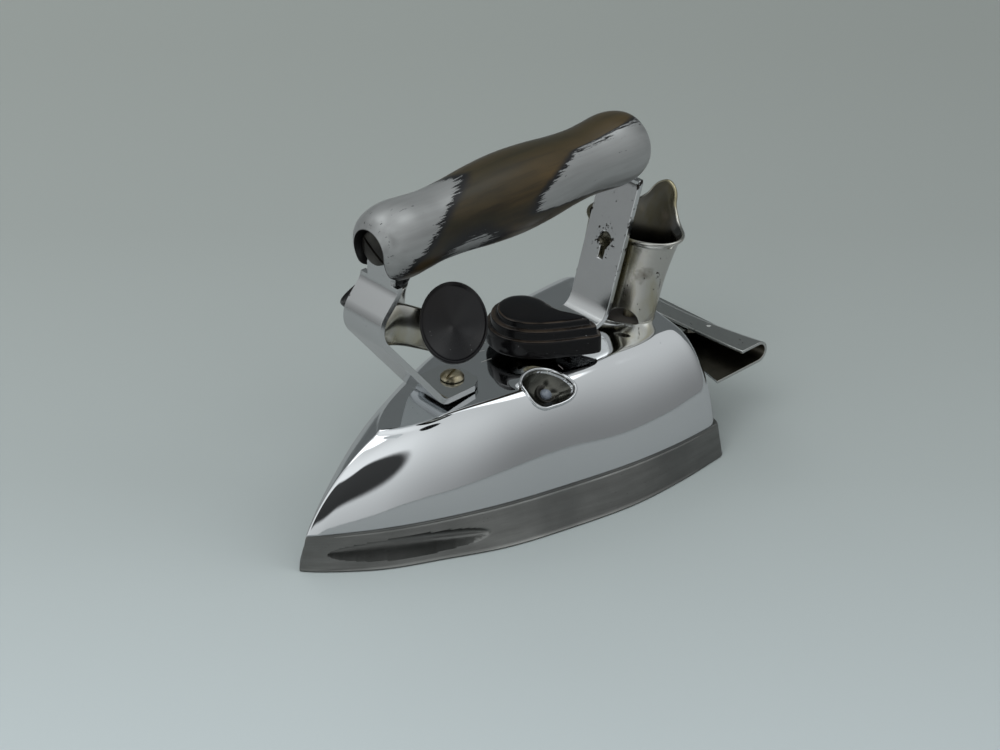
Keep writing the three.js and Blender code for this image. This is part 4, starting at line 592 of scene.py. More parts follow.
def plan(nose_x, heel_x, half_width, bow, shares):
    """Outline from the nose along port, round the heel and back along starboard."""
    corner_x = heel_x - bow
    port = catmull([(nose_x + a * (corner_x - nose_x), -half_width * o) for a, o in shares], SIDE_COUNT)
    across = np.arange(1, HEEL_COUNT * 2) / HEEL_COUNT - 1
    heel = np.column_stack([corner_x + bow * (1 - across**2), -port[-1, 1] * across])
    return np.vstack([port, heel, port[1:][::-1] * (1, -1)])


def soften(ring, passes, close):
    """Rounds the outline's corners a little; close is each point's share of the smoothing."""
    for _ in range(passes):
        middle = (np.roll(ring, 1, axis=0) + np.roll(ring, -1, axis=0)) / 2
        ring = ring + (middle - ring) * 0.5 * close[:, None]
    return ring


def corner_weight(ring):
    """Share of the smoothing: full at the heel's corners, less at the nose, none elsewhere."""
    x, y = ring[:, 0], np.abs(ring[:, 1])
    away = np.hypot(x - (HEEL_X - HEEL_BOW), y - y.max())
    return np.clip(1 - away / HEEL_CORNER, 0, 1) + np.clip(1 - (x - x.min()) / NOSE_CORNER, 0, 1) * NOSE_SHARE


def nook_dent(points):
    """Pushes the sole's side in along each flank's long scoop."""
    for side in (-1, 1):
        cos, sin = math.cos(side * NOOK_TURN), math.sin(side * NOOK_TURN)
        rel = points - (NOOK_X, side * NOOK_Y, NOOK_Z)
        along = rel[:, 0] * cos + rel[:, 1] * sin
        out = (-rel[:, 0] * sin + rel[:, 1] * cos) * side
        left = np.clip(1 - (along / NOOK_HALF_LENGTH) ** 2 - (rel[:, 2] / NOOK_HALF_HEIGHT) ** 2, 0, 1)
        inside = (left > 0) & (out > -NOOK_REACH)
        pushed = np.where(inside, soft_min(out, -NOOK_DEPTH * np.sqrt(left), NOOK_EDGE), out)
        delta = (pushed - out) * side
        points = points + np.column_stack([-delta * sin, delta * cos, np.zeros(len(delta))])
    return points


def build_sole():
    face = plan(NOSE_X, HEEL_X, SOLE_WIDTH / 2, HEEL_BOW, SOLE_SHARES)
    rim = plan(NOSE_X + SOLE_NOSE_RAKE, HEEL_X, SOLE_WIDTH / 2 - SOLE_SIDE_FLARE, HEEL_BOW, RIM_SHARES)
    face, rim = (soften(line, SOLE_PASSES, corner_weight(line) * SOLE_CLOSE_SHARE) for line in (face, rim))
    rows = []

    def ring(share, height, pull):
        """Ring between face and rim, pulled in toward the sole's middle, which is the origin."""
        flat = face * (1 - share) + rim * share
        scale = 1 - pull / np.maximum(np.linalg.norm(flat, axis=1), 1)
        rows.append(np.column_stack([flat * scale[:, None], np.full(len(flat), height)]))

    round_turns = np.linspace(0, math.pi / 2, 5)
    for pull in FACE_PULLS:
        ring(0, 0, pull)
    for turn in round_turns:
        ring(0, SOLE_ROUND * (1 - math.cos(turn)), SOLE_ROUND * (1 - math.sin(turn)))
    for height in np.linspace(SOLE_SIDE_LOW, SOLE_SIDE_HIGH, SOLE_SIDE_ROWS):
        ring(height / SOLE_THICKNESS, height, 0)
    for turn in round_turns:
        ring(1, SOLE_THICKNESS - SOLE_ROUND * (1 - math.sin(turn)), SOLE_ROUND * (1 - math.cos(turn)))
    for pull in TOP_PULLS:
        ring(1, SOLE_THICKNESS, pull)
    piece("sole_body", nook_dent(np.vstack(rows)), capped(len(rows), len(face)), CAST,
          replaces=["sole_plate"], sharp=50)


# Pocket of the pilot lamp, in a frame tilted with the shell's flank

PILOT, PILOT_TILT = np.array([10.7, -22.4, 45.1]), 0.52
PILOT_UP = np.array([0, math.cos(PILOT_TILT), math.sin(PILOT_TILT)])
PILOT_OUT = np.array([0, -math.sin(PILOT_TILT), math.cos(PILOT_TILT)])
PILOT_BASIS = np.column_stack([(1, 0, 0), PILOT_UP, PILOT_OUT])
POCKET_OUTLINE = [(-5.4, 6.3), (-2.5, 7.4), (1.9, 7.1), (5.4, 5.1), (7.1, 2.8), (8.4, -1.2), (9.3, -5.0),
                  (8.0, -6.9), (5.4, -7.8), (1.5, -7.7), (-1.7, -7.1), (-4.9, -6.3), (-7.0, -4.1),
                  (-7.7, -1.3), (-7.5, 2.2), (-7.1, 4.5)]
POCKET_DEPTH, POCKET_ZONE, POCKET_BELOW, POCKET_LOWEST_Z, POCKET_SKIN_GAP = 4.6, 22.0, 12.0, 30.0, 0.75
NOT_NEAR = 99.0
HOOD_RISE, HOOD_START, HOOD_SLOPE, HOOD_BLEND, HOOD_DROP = 0.2, 0.5, 1.15, 1.6, 12.0
HOOD_FROM, HOOD_FULL, HOOD_SKEW = -6.0, 1.0, 0.35
RIM_WINDOW, RIM_BLUR, RIM_BLUR_TURN = 1.0, 0.4, 0.12
BOWL_ROWS, BOWL_START_SHARE, BRIGHT_ROWS = 30, 0.03, 3
BEAD_HALF_WIDTH, BEAD_RISE, BEAD_TAIL, BEAD_START_TURN, BEAD_ROWS = 0.6, 0.65, 1.2, 0.25, 9


def second_paint(obj, material, chosen):
    """Gives the faces whose index is chosen another material."""
    obj.data.materials.append(material)
    for face in obj.data.polygons:
        if chosen(face.index):
            face.material_index = 1


def pocket_place(points):
    """Points in the pocket's frame, and how far each lies outside its outline."""
    u, v, w = ((points - PILOT) @ PILOT_BASIS).T
    line = catmull(POCKET_OUTLINE, 240, closed=True)
    turns = np.arctan2(line[:, 1], line[:, 0])
    order = np.argsort(turns)
    reach = np.hypot(line[:, 0], line[:, 1])[order]
    reach = np.interp(np.arctan2(v, u), turns[order], reach, period=2 * math.pi)
    near = (np.hypot(u, v) < POCKET_ZONE) & (w > -POCKET_BELOW) & (points[:, 2] > POCKET_LOWEST_Z)
    return u, v, w, np.where(near, np.hypot(u, v) - reach, NOT_NEAR)


def pocket_shape(points):
    """Raises the shell in a hood along the upper side of the lamp's pocket."""
    u, v, w, out = pocket_place(points)
    upper = smoothstep(HOOD_FROM, HOOD_FULL, v + HOOD_SKEW * u)
    hood = HOOD_RISE - HOOD_SLOPE * np.clip(out - HOOD_START, 0, None) - HOOD_DROP * (1 - upper)
    lifted = np.where(out < NOT_NEAR, -soft_min(-w, -hood, HOOD_BLEND), w)
    return points + (lifted - w)[:, None] * PILOT_OUT


def build_pocket(skin):
    """Bowl of the pocket with its rounded rim, fitted to the opening left in the shell; its deeper part is
    chrome painted dark as shade.
    """
    u, v, w, out = pocket_place(skin)
    edge = np.abs(out) < RIM_WINDOW
    around = np.arctan2(v[edge], u[edge])
    line = catmull(POCKET_OUTLINE, 160, closed=True)
    rim = []
    for point in line:
        gap = np.angle(np.exp(1j * (around - math.atan2(point[1], point[0]))))
        weight = np.exp(-(gap / RIM_BLUR_TURN) ** 2 - (out[edge] / RIM_BLUR) ** 2)
        rim.append((weight * w[edge]).sum() / weight.sum())
    rim = np.array(rim)
    ahead = unit(np.roll(line, -1, axis=0) - np.roll(line, 1, axis=0))
    away = np.column_stack([ahead[:, 1], -ahead[:, 0]])
    away *= np.sign((away * line).sum(axis=1).mean())
    rows = [np.column_stack([line * q, -POCKET_DEPTH + (rim + POCKET_DEPTH) * q**3])
            for q in np.linspace(BOWL_START_SHARE, 1, BOWL_ROWS)]
    for t in np.linspace(BEAD_START_TURN, math.pi, BEAD_ROWS):
        bead = line + away * BEAD_HALF_WIDTH * (1 - math.cos(t))
        rows.append(np.column_stack([bead, rim + BEAD_RISE * math.sin(t)]))
    rows.append(np.column_stack([line + away * BEAD_HALF_WIDTH * 2, rim - BEAD_TAIL]))
    count = len(line)
    faces = grid_faces(len(rows), count) + [tuple(range(count))]
    obj = piece("lamp_pocket", PILOT + np.vstack(rows) @ PILOT_BASIS.T, faces, POCKET_SHADE,
                sharp=80)
    # The bowl's upper rows and the rim bead take plain chrome; the deeper rows keep the painted shade
    first, last = count * (BOWL_ROWS - BRIGHT_ROWS), count * (len(rows) - 1)
    second_paint(obj, CHROME, lambda index: first <= index < last)


# Shell

GUARD_X, GUARD_HALF_WIDTH, GUARD_HALF_DEPTH, GUARD_WALL = 67.6, 19.0, 10.6, 1.0
SHELL_HEEL_INSET, SHELL_PASSES = 0.6, 60
BULGE_NOSE_SHARE, BULGE_HEEL_SHARE = 0.42, 0.72
FLANK_STEPS, SHOULDER_STEPS, DECK_STEPS = (36, 100), 14, (42, 24)
BLEND_ROWS, BLEND_PASSES = 17, 24
SPINE_NOSE, SPINE_HEEL = 8.0, 20.0
LIP_GROWTH, LIP_RISE, LIP_POWER, LIP_BELOW = 0.5, 1.2, 2.2, 6.0
LIP_SPREAD_SHARE, LIP_HOLE_SHARE = 0.5, 0.985

# Deck lines beside the dial: (degrees, inner and outer radius about its axis)
TICKS = [(-104, 17.6, 21.0), (-121, 17.2, 22.0), (-138, 17.4, 22.0), (-156, 18.2, 22.4), (171, 18.6, 23.0),
         (152, 18.6, 23.0), (134, 17.6, 22.0)]
TICK_HALF_WIDTH, TICK_DEPTH, TICK_RISE = 0.14, 0.15, 0.03


def halves(first, second):
    """Shares from 0 to 1 with a spacing of its own in each half."""
    return np.concatenate([np.linspace(0, 0.5, first), np.linspace(0.5, 1, second)[1:]])


def build_shell():
    rim = plan(NOSE_X + SOLE_NOSE_RAKE, HEEL_X - SHELL_HEEL_INSET, SOLE_WIDTH / 2 - SOLE_SIDE_FLARE, HEEL_BOW,
               RIM_SHARES)
    deck = plan(DECK_APEX_X, DECK_HEEL_X, DECK_WIDTH / 2, DECK_HEEL_BOW, DECK_SHARES)
    close = corner_weight(rim)
    rim, deck = (soften(line, SHELL_PASSES, close) for line in (rim, deck))
    top = deck_height(deck[:, 0]) - SHOULDER_DROP
    bulge = BULGE_NOSE_SHARE + (BULGE_HEEL_SHARE - BULGE_NOSE_SHARE) * (rim[:, 0] - NOSE_X) / SOLE_LENGTH
    rows = []
    for share in halves(*FLANK_STEPS):
        turn = share * math.pi / 2
        inward = share + (1 - math.cos(turn) - share) * bulge
        upward = share + (math.sin(turn) - share) * bulge
        flat = rim + (deck - rim) * inward[:, None]
        rows.append(np.column_stack([flat, SHELL_BASE + (top - SHELL_BASE) * upward]))
    start = len(rows) - BLEND_ROWS
    middle = np.array([(DECK_APEX_X + DECK_HEEL_X) / 2, 0])
    inset = (1 - SHOULDER_INSET / (DECK_HEEL_X - DECK_APEX_X), 1 - SHOULDER_INSET / (DECK_WIDTH / 2))
    crown = middle + (deck - middle) * inset
    for share in np.linspace(0, 1, SHOULDER_STEPS + 1)[1:]:
        flat = deck + (crown - deck) * share
        rise = SHOULDER_DROP * (1 - (1 - share) ** 2) + deck_height(flat[:, 0]) - deck_height(deck[:, 0])
        rows.append(np.column_stack([flat, top + rise]))
    stop = len(rows) + BLEND_ROWS
    spine_x = np.clip(crown[:, 0], DECK_APEX_X + SPINE_NOSE, DECK_HEEL_X - SPINE_HEEL)
    spine = np.column_stack([spine_x, np.zeros(len(crown))])
    for share in halves(*DECK_STEPS)[1:]:
        flat = crown + (spine - crown) * share
        rows.append(np.column_stack([flat, deck_height(flat[:, 0])]))
    grid = np.stack(rows)
    for _ in range(BLEND_PASSES):
        between = (grid[start - 1:stop - 1] + grid[start + 1:stop + 1]) / 2
        grid[start:stop] += (between - grid[start:stop]) * 0.5
    points = pocket_shape(grid.reshape(-1, 3))
    lip = np.hypot((points[:, 0] - GUARD_X) / (GUARD_HALF_DEPTH + LIP_GROWTH),
                   points[:, 1] / (GUARD_HALF_WIDTH + LIP_GROWTH))
    fillet = np.clip(1 - (lip - 1) / LIP_SPREAD_SHARE, 0, 1)
    points[:, 2] += np.where(points[:, 2] > DECK_HEIGHT - LIP_BELOW, LIP_RISE * fillet**LIP_POWER, 0)
    gone = (lip < LIP_HOLE_SHARE) | (pocket_place(points)[3] < POCKET_SKIN_GAP)
    faces = [f for f in grid_faces(len(rows), len(rim)) if not all(gone[i] for i in f)]
    build_pocket(points)
    obj = piece("shell_skin", points, faces, CHROME, replaces=["shell"], sharp=60, merge=0.004)
    thicken(obj, SHELL_WALL)


def build_ticks():
    """Fine radial lines scratched into the deck."""
    verts, faces = [], []
    for degrees, inner, outer in TICKS:
        turn = math.radians(degrees)
        along = np.array([math.cos(turn), math.sin(turn)])
        side = np.array([-along[1], along[0]]) * TICK_HALF_WIDTH
        corners = [along * r + s for r, s in ((inner, -side), (outer, -side), (outer, side), (inner, side))]
        flat = np.array(corners) + (DIAL_X, 0)
        faces += [tuple(len(verts) + i for i in face) for face in BLOCK_FACES]
        for lift in (-TICK_DEPTH, TICK_RISE):
            verts += np.column_stack([flat, deck_height(flat[:, 0]) + lift]).tolist()
    piece("deck_ticks", verts, faces, SCRATCH, sharp=30)


# Straps

FRONT_FOOT_END = FRONT_KNEE_X + FOOT_LENGTH
FRONT_FOOT_Z = float(deck_height(FRONT_FOOT_END)) + SEAT_GAP + STRAP_THICKNESS / 2
BULGE_X, BULGE_Z, BULGE_RADIUS, BULGE_TURN = FRONT_KNEE_X - 27.5, HANDLE_HEIGHT - 27.0, 9.0, 0.66
FRONT_TONGUE_X, FRONT_RETURN_Z = BULGE_X + 8.3, HANDLE_HEIGHT - 14.5
FRONT_KNEE_RADIUS, FRONT_RETURN_RADIUS, REAR_KNEE_RADIUS, REAR_RETURN_RADIUS = 6.0, 7.0, 9.0, 4.0
TONGUE_TOP = HANDLE_HEIGHT + TONGUE_WIDTH / 2
REAR_RETURN_Z = HANDLE_HEIGHT - HANDLE_RADIUS + STRAP_THICKNESS
REAR_TONGUE_X, REAR_SHOULDER = REAR_KNEE_X + (REAR_RETURN_Z - REAR_FOOT_Z) * LEAN, 1.5
KEYHOLE_X = REAR_KNEE_X + (KEYHOLE_Z - REAR_FOOT_Z) * LEAN
KEYHOLE_RADIUS, KEYHOLE_SLOT_HALF, KEYHOLE_SLOT_LENGTH = 3.0, 1.25, 6.8
SCREW_HOLE, STRAP_EDGE = 2.5, 0.32

# How far a tongue reaches past its trimmed end, and cutting tools past what they cut
SPARE, CUT, CUT_SIDE, CUT_WIDE, KEY_CUT = 2.0, 3.0, 8.0, 20.0, 5.0

# Cut corner of the front strap's foot: (distance from its end, distance from the middle)
FOOT_CORNER = [(1, 4.4), (1, 12), (-6.2, 12), (-4.6, 9.2), (-1.6, 7.4), (-0.1, 5.2)]


def half_round(radius, steps):
    """Upper half circle of (y, z) points about the handle's axis."""
    turns = np.linspace(0, math.pi, steps)
    return [(math.cos(t) * radius, HANDLE_HEIGHT + math.sin(t) * radius) for t in turns]


def tongue_tools(x, base):
    """Tools that narrow a strap to its tongue, with a round end and a screw hole."""
    tools = []
    for sign in (-1, 1):
        low, high = sorted((sign * TONGUE_WIDTH / 2, sign * (STRAP_WIDTH / 2 + CUT)))
        tools.append(block((x - CUT_SIDE - 1, low, base), (x + CUT_SIDE + 1, high, TONGUE_TOP + CUT)))
    above = TONGUE_TOP + CUT * 2
    outer = [(-CUT_WIDE, HANDLE_HEIGHT), (-CUT_WIDE, above), (CUT_WIDE, above), (CUT_WIDE, HANDLE_HEIGHT)]
    tools.append(prism(half_round(TONGUE_WIDTH / 2, 25) + outer, x - CUT_SIDE, x + CUT_SIDE))
    tools.append(cylinder((x - CUT_SIDE, 0, HANDLE_HEIGHT), (x + CUT_SIDE, 0, HANDLE_HEIGHT), SCREW_HOLE))
    return tools


def strip(name, path, node, tools):
    """Bent strap from its side-view centre line, cut by tools, with softened edges."""
    loop = sheet_loop(path, STRAP_THICKNESS)
    count = len(loop)
    verts = [(x, y, z) for y in (-STRAP_WIDTH / 2, STRAP_WIDTH / 2) for x, z in loop]
    faces = grid_faces(2, count) + sheet_end(count, 0) + sheet_end(count, count)
    obj = piece(name, verts, faces, CHIPPED, replaces=[node], sharp=28)
    carve(obj, tools, 28)
    bevel(obj, STRAP_EDGE, 2, 40)


def build_straps():
    arc = [(BULGE_X + BULGE_RADIUS * (1 - math.cos(t)), BULGE_Z + BULGE_RADIUS * math.sin(t))
           for t in np.linspace(-BULGE_TURN, BULGE_TURN, 25)]
    foot = [(FRONT_FOOT_END, FRONT_FOOT_Z), (FRONT_KNEE_X, FRONT_FOOT_Z), arc[0]]
    tongue = [arc[-1], (FRONT_TONGUE_X, FRONT_RETURN_Z), (FRONT_TONGUE_X, TONGUE_TOP + SPARE)]
    path = np.vstack([rounded(foot, [FRONT_KNEE_RADIUS], 10), arc[1:-1],
                      rounded(tongue, [FRONT_RETURN_RADIUS], 10)])
    low, high = FRONT_FOOT_Z - CUT, FRONT_FOOT_Z + CUT
    tools = tongue_tools(FRONT_TONGUE_X, FRONT_RETURN_Z + STRAP_THICKNESS)
    tools.append(cylinder((FRONT_POST_X, 0, low), (FRONT_POST_X, 0, high), SCREW_HOLE))
    for sign in (-1, 1):
        corner = [(FRONT_FOOT_END + ahead, sign * out) for ahead, out in FOOT_CORNER]
        tools.append(prism(corner, low, high, upright=True))
    strip("front_strap_bent", path, "front_strap", tools)

    path = rounded([(REAR_KNEE_X - REAR_FOOT_LENGTH, REAR_FOOT_Z), (REAR_KNEE_X, REAR_FOOT_Z),
                    (REAR_TONGUE_X, REAR_RETURN_Z), (REAR_TONGUE_X, TONGUE_TOP + SPARE)],
                   [REAR_KNEE_RADIUS, REAR_RETURN_RADIUS], 12)
    tools = tongue_tools(REAR_TONGUE_X, REAR_RETURN_Z + REAR_SHOULDER)
    tools.append(cylinder((KEYHOLE_X - KEY_CUT, 0, KEYHOLE_Z + KEY_CUT * LEAN),
                          (KEYHOLE_X + KEY_CUT, 0, KEYHOLE_Z - KEY_CUT * LEAN), KEYHOLE_RADIUS))
    tools.append(block((KEYHOLE_X - KEY_CUT - 1, -KEYHOLE_SLOT_HALF, KEYHOLE_Z - KEYHOLE_SLOT_LENGTH),
                       (KEYHOLE_X + KEY_CUT - 1, KEYHOLE_SLOT_HALF, KEYHOLE_Z)))
    strip("rear_strap_bent", path, "rear_strap", tools)


# Handle

# Borders of the silver paint: (degrees from the top, x)
FRONT_BORDER = [(0, -8.5), (20, -13.5), (56, -26), (84, -35), (108, -43), (135, -46), (180, -46)]
REAR_BORDER = [(0, 84), (26, 70), (33, 42), (60, 27), (78, 16), (98, 14), (108, 30), (129, 53), (150, 74),
               (180, 84)]

# Bare stretch along the top of the rear end: (x, degrees from the top)
BARE_TOP, BARE_FROM_X, DEGREE_ARC = [(30, 60), (42, 34), (70, 26)], 39.0, 0.24
PATCH_X, PATCH_TURN, PATCH_RADIUS, PATCH_X_SHARE, PATCH_DEGREE = -14.0, 120.0, 5.0, 0.6, 0.3
CREST_HALF = 75.0
CHIPS_X, CHIPS_TURN, CHIPS_REACH, CHIPS_TURN_REACH = -40.0, 8.0, 9.0, 45.0
END_CHIPS_X, END_CHIPS_REACH, END_CHIPS_SHARE = -44.0, 8.0, 0.5
NOTCH_SPARE, NOTCH_BELOW, NOTCH_ROUND, CROWDED_SHARE = 3.0, 20.0, 0.7, 0.6


def handle_radius(x):
    knots = HANDLE_SHARES + [(1 - a, o) for a, o in HANDLE_SHARES[-2::-1]]
    line = catmull(knots, 300, power=0.0)
    return np.interp((x - HANDLE_FRONT_X) / HANDLE_LENGTH, line[:, 0], line[:, 1]) * HANDLE_RADIUS


def paint_handle(mesh):
    """Stores where the handle is painted, worn bare along its crest and chipped."""
    x, y, z = (np.array([v.co for v in mesh.vertices]) / MM).T
    turn = np.degrees(np.arctan2(-y, z - HANDLE_HEIGHT))
    away = np.abs(turn)
    front = np.interp(away, *zip(*FRONT_BORDER)) - x
    rear = x - np.interp(away, *zip(*REAR_BORDER))
    crosswise = (away - np.interp(x, *zip(*BARE_TOP))) * DEGREE_ARC
    rear = np.where(x > BARE_FROM_X, np.minimum(rear, crosswise), rear)
    patch = PATCH_RADIUS - np.hypot((x - PATCH_X) * PATCH_X_SHARE, (turn - PATCH_TURN) * PATCH_DEGREE)
    chips = np.clip(1 - np.hypot((x - CHIPS_X) / CHIPS_REACH, (turn - CHIPS_TURN) / CHIPS_TURN_REACH), 0, 1)
    chips += np.clip((END_CHIPS_X - x) / END_CHIPS_REACH, 0, END_CHIPS_SHARE)
    paint = np.maximum(np.maximum(front, rear), patch)
    crest = np.clip(1 - away / CREST_HALF, 0, 1)
    for name, values in (("paint", paint), ("crest", crest), ("chips", chips)):
        mesh.attributes.new(name, "FLOAT", "POINT").data.foreach_set("value", values.astype(np.float32))


def build_handle():
    """Turned grip with a notch in each end, its rings closer together at the ends."""
    sides, steps = 160, 150
    even = np.linspace(0, 1, steps)
    crowded = 0.5 - 0.5 * np.cos(even * math.pi)
    first = HANDLE_SHARES[0][0]
    shares = first + (1 - first * 2) * (CROWDED_SHARE * crowded + (1 - CROWDED_SHARE) * even)
    stations = HANDLE_FRONT_X + shares * HANDLE_LENGTH
    turns = full_turn(sides)
    rings = [np.column_stack([np.full(sides, x), r * np.sin(turns), HANDLE_HEIGHT + r * np.cos(turns)])
             for x, r in zip(stations, handle_radius(stations))]
    obj = piece("handle_turned", np.vstack(rings), capped(steps, sides), WOOD, replaces=["handle_grip"],
                sharp=60)
    notch = half_round(NOTCH_RADIUS, 33)
    notch += [(-NOTCH_RADIUS, HANDLE_HEIGHT - NOTCH_BELOW), (NOTCH_RADIUS, HANDLE_HEIGHT - NOTCH_BELOW)]
    lift = STRAP_THICKNESS / 2 + SEAT_GAP
    carve(obj, [prism(notch, HANDLE_FRONT_X - NOTCH_SPARE, FRONT_TONGUE_X + lift),
                prism(notch, REAR_TONGUE_X - lift, HANDLE_FRONT_X + HANDLE_LENGTH + NOTCH_SPARE)], 35)
    bevel(obj, NOTCH_ROUND, 3, 40)
    paint_handle(obj.data)


# Screws

TIP, SHANK_RADIUS, SHANK_LENGTH, HEAD_EDGE = 0.01, 2.2, 9.0, 0.12
DOME_SHARES = [(0.55, 0.08), (0.82, 0.3), (0.95, 0.62)]
FLANK_SHARE, SLOT_DEPTH, SLOT_OVER = 0.28, 1.1, 2.0
FOOT_SCREW, GRIP_SCREW = (4.3, 2.2, 1.0), (6.2, 2.2, 1.2)


def screw_head(name, node, centre, axis, size, slot_turn, dome, material):
    """Slotted head and a stub of shank; size holds the head's radius, its height and the slot's width."""
    head, height, slot_width = size
    profile = [(TIP, height)] + [(head * r, height * (1 - dome * drop)) for r, drop in DOME_SHARES]
    profile += [(head, height * FLANK_SHARE), (head, HEAD_EDGE), (head - HEAD_EDGE, 0.0), (SHANK_RADIUS, 0.0),
                (SHANK_RADIUS, -SHANK_LENGTH), (TIP, -SHANK_LENGTH)]
    points, faces = turned(profile, 56)
    lean = Vector((0, 0, 1)).rotation_difference(Vector(axis)).to_matrix()
    matrix = np.array(lean @ Matrix.Rotation(slot_turn, 3, "Z")).T
    obj = piece(name, points @ matrix + centre, faces, material, replaces=[node], sharp=50)
    low = (-head * 2, -slot_width / 2, height - SLOT_DEPTH)
    high = (head * 2, slot_width / 2, height + SLOT_OVER)
    carve(obj, [(np.array(block(low, high)[0]) @ matrix + centre, BLOCK_FACES)], 40)
    bevel(obj, HEAD_EDGE, 2, 45)


def build_screws():
    lift = STRAP_THICKNESS / 2 + SEAT_GAP
    screw_head("foot_screw_front", "front_foot_screw", (FRONT_POST_X, 0, FRONT_FOOT_Z + lift), (0, 0, 1),
               FOOT_SCREW, slot_turn=0.35, dome=1.0, material=BRASS)
    for end, x, toward, slot_turn in (("front", FRONT_TONGUE_X - lift, -1, 1.0),
                                      ("rear", REAR_TONGUE_X + lift, 1, 0.6)):
        screw_head("grip_screw_" + end, "handle_" + end + "_screw", (x, 0, HANDLE_HEIGHT), (toward, 0, 0),
                   GRIP_SCREW, slot_turn, dome=0.4, material=DARK_STEEL)


# Thumb rests and their bracket

THUMB_CENTRE, THUMB_HALVES = (-30.1, -20.5, 87.2), (11.6, 15.2)
THUMB_NORMAL, THUMB_ACROSS = (-0.3, -0.5, 0.81), (0.731, -0.682, 0.0)
THUMB_BACK, DISH_RIM, DISH_DEPTH = 7.0, 0.5, 3.3
DISH_FROM, DISH_REACH, DISH_SOFT = 0.88, 0.92, 0.08

# Side of the pad from the middle of its back over the rim: (share of the half width, depth)
THUMB_PROFILE = [(TIP, THUMB_BACK), (0.5, THUMB_BACK), (0.6, 6.95), (0.68, 6.6), (0.78, 5.7), (0.87, 4.5),
                 (0.935, 3.3), (0.975, 2.3), (0.994, 1.4), (1.0, 0.7), (0.995, 0.25), (0.983, 0.06),
                 (0.968, 0.0), (0.952, 0.06), (0.935, 0.26), (0.915, DISH_RIM)]
SADDLE_SIDES, SADDLE_STEPS = 56, 30
SADDLE_ROOT, SADDLE_ROOT_Y, SADDLE_LIFT = 0.4, 3.2, 0.4
SADDLE_BEND, SADDLE_FALL, SADDLE_NECK = 11.0, 0.6, 16.5
SADDLE_REACH, REACH_AT_ROOT, REACH_AT_PAD = 3.6, 2.2, 2.6
SADDLE_TALL, TALL_AT_ROOT, TALL_AT_PAD, ROOT_SHARE = 7.4, 1.2, 2.0, 0.62


def thumb_basis(side):
    """Axes of a pad in columns, its normal last, and its centre; side is -1 for port and 1 for starboard."""
    normal = unit(np.array(THUMB_NORMAL))
    across = np.array(THUMB_ACROSS)
    across = unit(across - normal * (across @ normal))
    basis = np.column_stack([across, np.cross(normal, across), normal])
    mirror = np.array([1, -side, 1])
    return basis * mirror[:, None], np.array(THUMB_CENTRE) * mirror


def build_thumb_rests():
    dish = [(r, -DISH_RIM - DISH_DEPTH * (1 - math.hypot(r, DISH_SOFT) / DISH_REACH))
            for r in np.linspace(DISH_FROM, TIP, 16)]
    points, faces = turned([(r, -depth) for r, depth in THUMB_PROFILE] + dish, 96, THUMB_HALVES)
    for name, side in (("port", -1), ("starboard", 1)):
        basis, centre = thumb_basis(side)
        piece("thumb_pad_" + name, points @ basis.T + centre, faces, BLACK, replaces=["thumb_rest_" + name],
              sharp=55)


def build_saddle():
    """Flared horns from the back of the front strap to each thumb rest."""
    verts, faces = [], []
    root_x = BULGE_X + STRAP_THICKNESS / 2 + SEAT_GAP + SADDLE_ROOT
    turns = full_turn(SADDLE_SIDES)
    for side in (-1, 1):
        basis, centre = thumb_basis(side)
        normal = basis[:, 2]
        start = np.array([root_x, side * SADDLE_ROOT_Y, BULGE_Z + SADDLE_LIFT])
        bend = start + (SADDLE_BEND, 0, -SADDLE_FALL)
        neck, seat = centre - normal * SADDLE_NECK, centre - normal * (THUMB_BACK + SEAT_GAP)
        shares = np.linspace(0, 1, SADDLE_STEPS)
        path = np.array([start * (1 - t) ** 3 + bend * 3 * t * (1 - t) ** 2 + neck * 3 * t**2 * (1 - t)
                         + seat * t**3 for t in shares])
        ahead = unit(np.gradient(path, axis=0))
        ahead[0], ahead[-1] = (1, 0, 0), normal
        faces += [tuple(len(verts) + i for i in face) for face in capped(SADDLE_STEPS, SADDLE_SIDES)]
        for middle, tangent, t in zip(path, ahead, shares):
            across = unit(np.cross(tangent, (0, 0, 1)))
            up = np.cross(across, tangent)
            reach = SADDLE_REACH + REACH_AT_ROOT * (1 - smoothstep(0, 0.3, t))
            reach += REACH_AT_PAD * smoothstep(0.62, 1.0, t) ** 1.6
            tall = SADDLE_TALL + TALL_AT_ROOT * (1 - smoothstep(0, 0.45, t))
            tall += TALL_AT_PAD * smoothstep(0.55, 1.0, t) ** 1.4
            tall *= ROOT_SHARE + (1 - ROOT_SHARE) * smoothstep(0, 0.2, t)
            ring = middle + np.outer(np.cos(turns), across) * reach + np.outer(np.sin(turns), up) * tall
            verts += ring.tolist()
    piece("thumb_saddle", verts, faces, NICKEL, replaces=["thumb_rest_bracket"], sharp=55)


# Dial

DIAL_REACH, INSET_KEPT_SHARE, INSET_SLACK = 26.6, 0.97, 0.02
CROWN_RISE, CROWN_POWER, CROWN_ROWS = 0.5, 2.2, 14
TAIL_FALL_SHARE, TAIL_SHARES = 0.6, (0.25, 0.95)

# Crest of the dial's top, from its hub to its tail
DIAL_CREST = [(-5.6, 2.4), (-3.0, 0.2), (0.6, -4.0), (4.0, -9.6), (6.4, -14.6), (7.6, -18.2)]


def inset_ring(line, inward, inset):
    """Outline moved inward, with the stretches that would cross at its corners drawn straight."""
    moved = line + inward * inset
    gaps = np.linalg.norm(moved[:, None, :] - line[None, :, :], axis=2).min(axis=1)
    kept = np.flatnonzero(gaps > inset * INSET_KEPT_SHARE - INSET_SLACK)
    index = np.arange(len(line))
    return np.column_stack([np.interp(index, kept, moved[kept, k], period=len(line)) for k in (0, 1)])


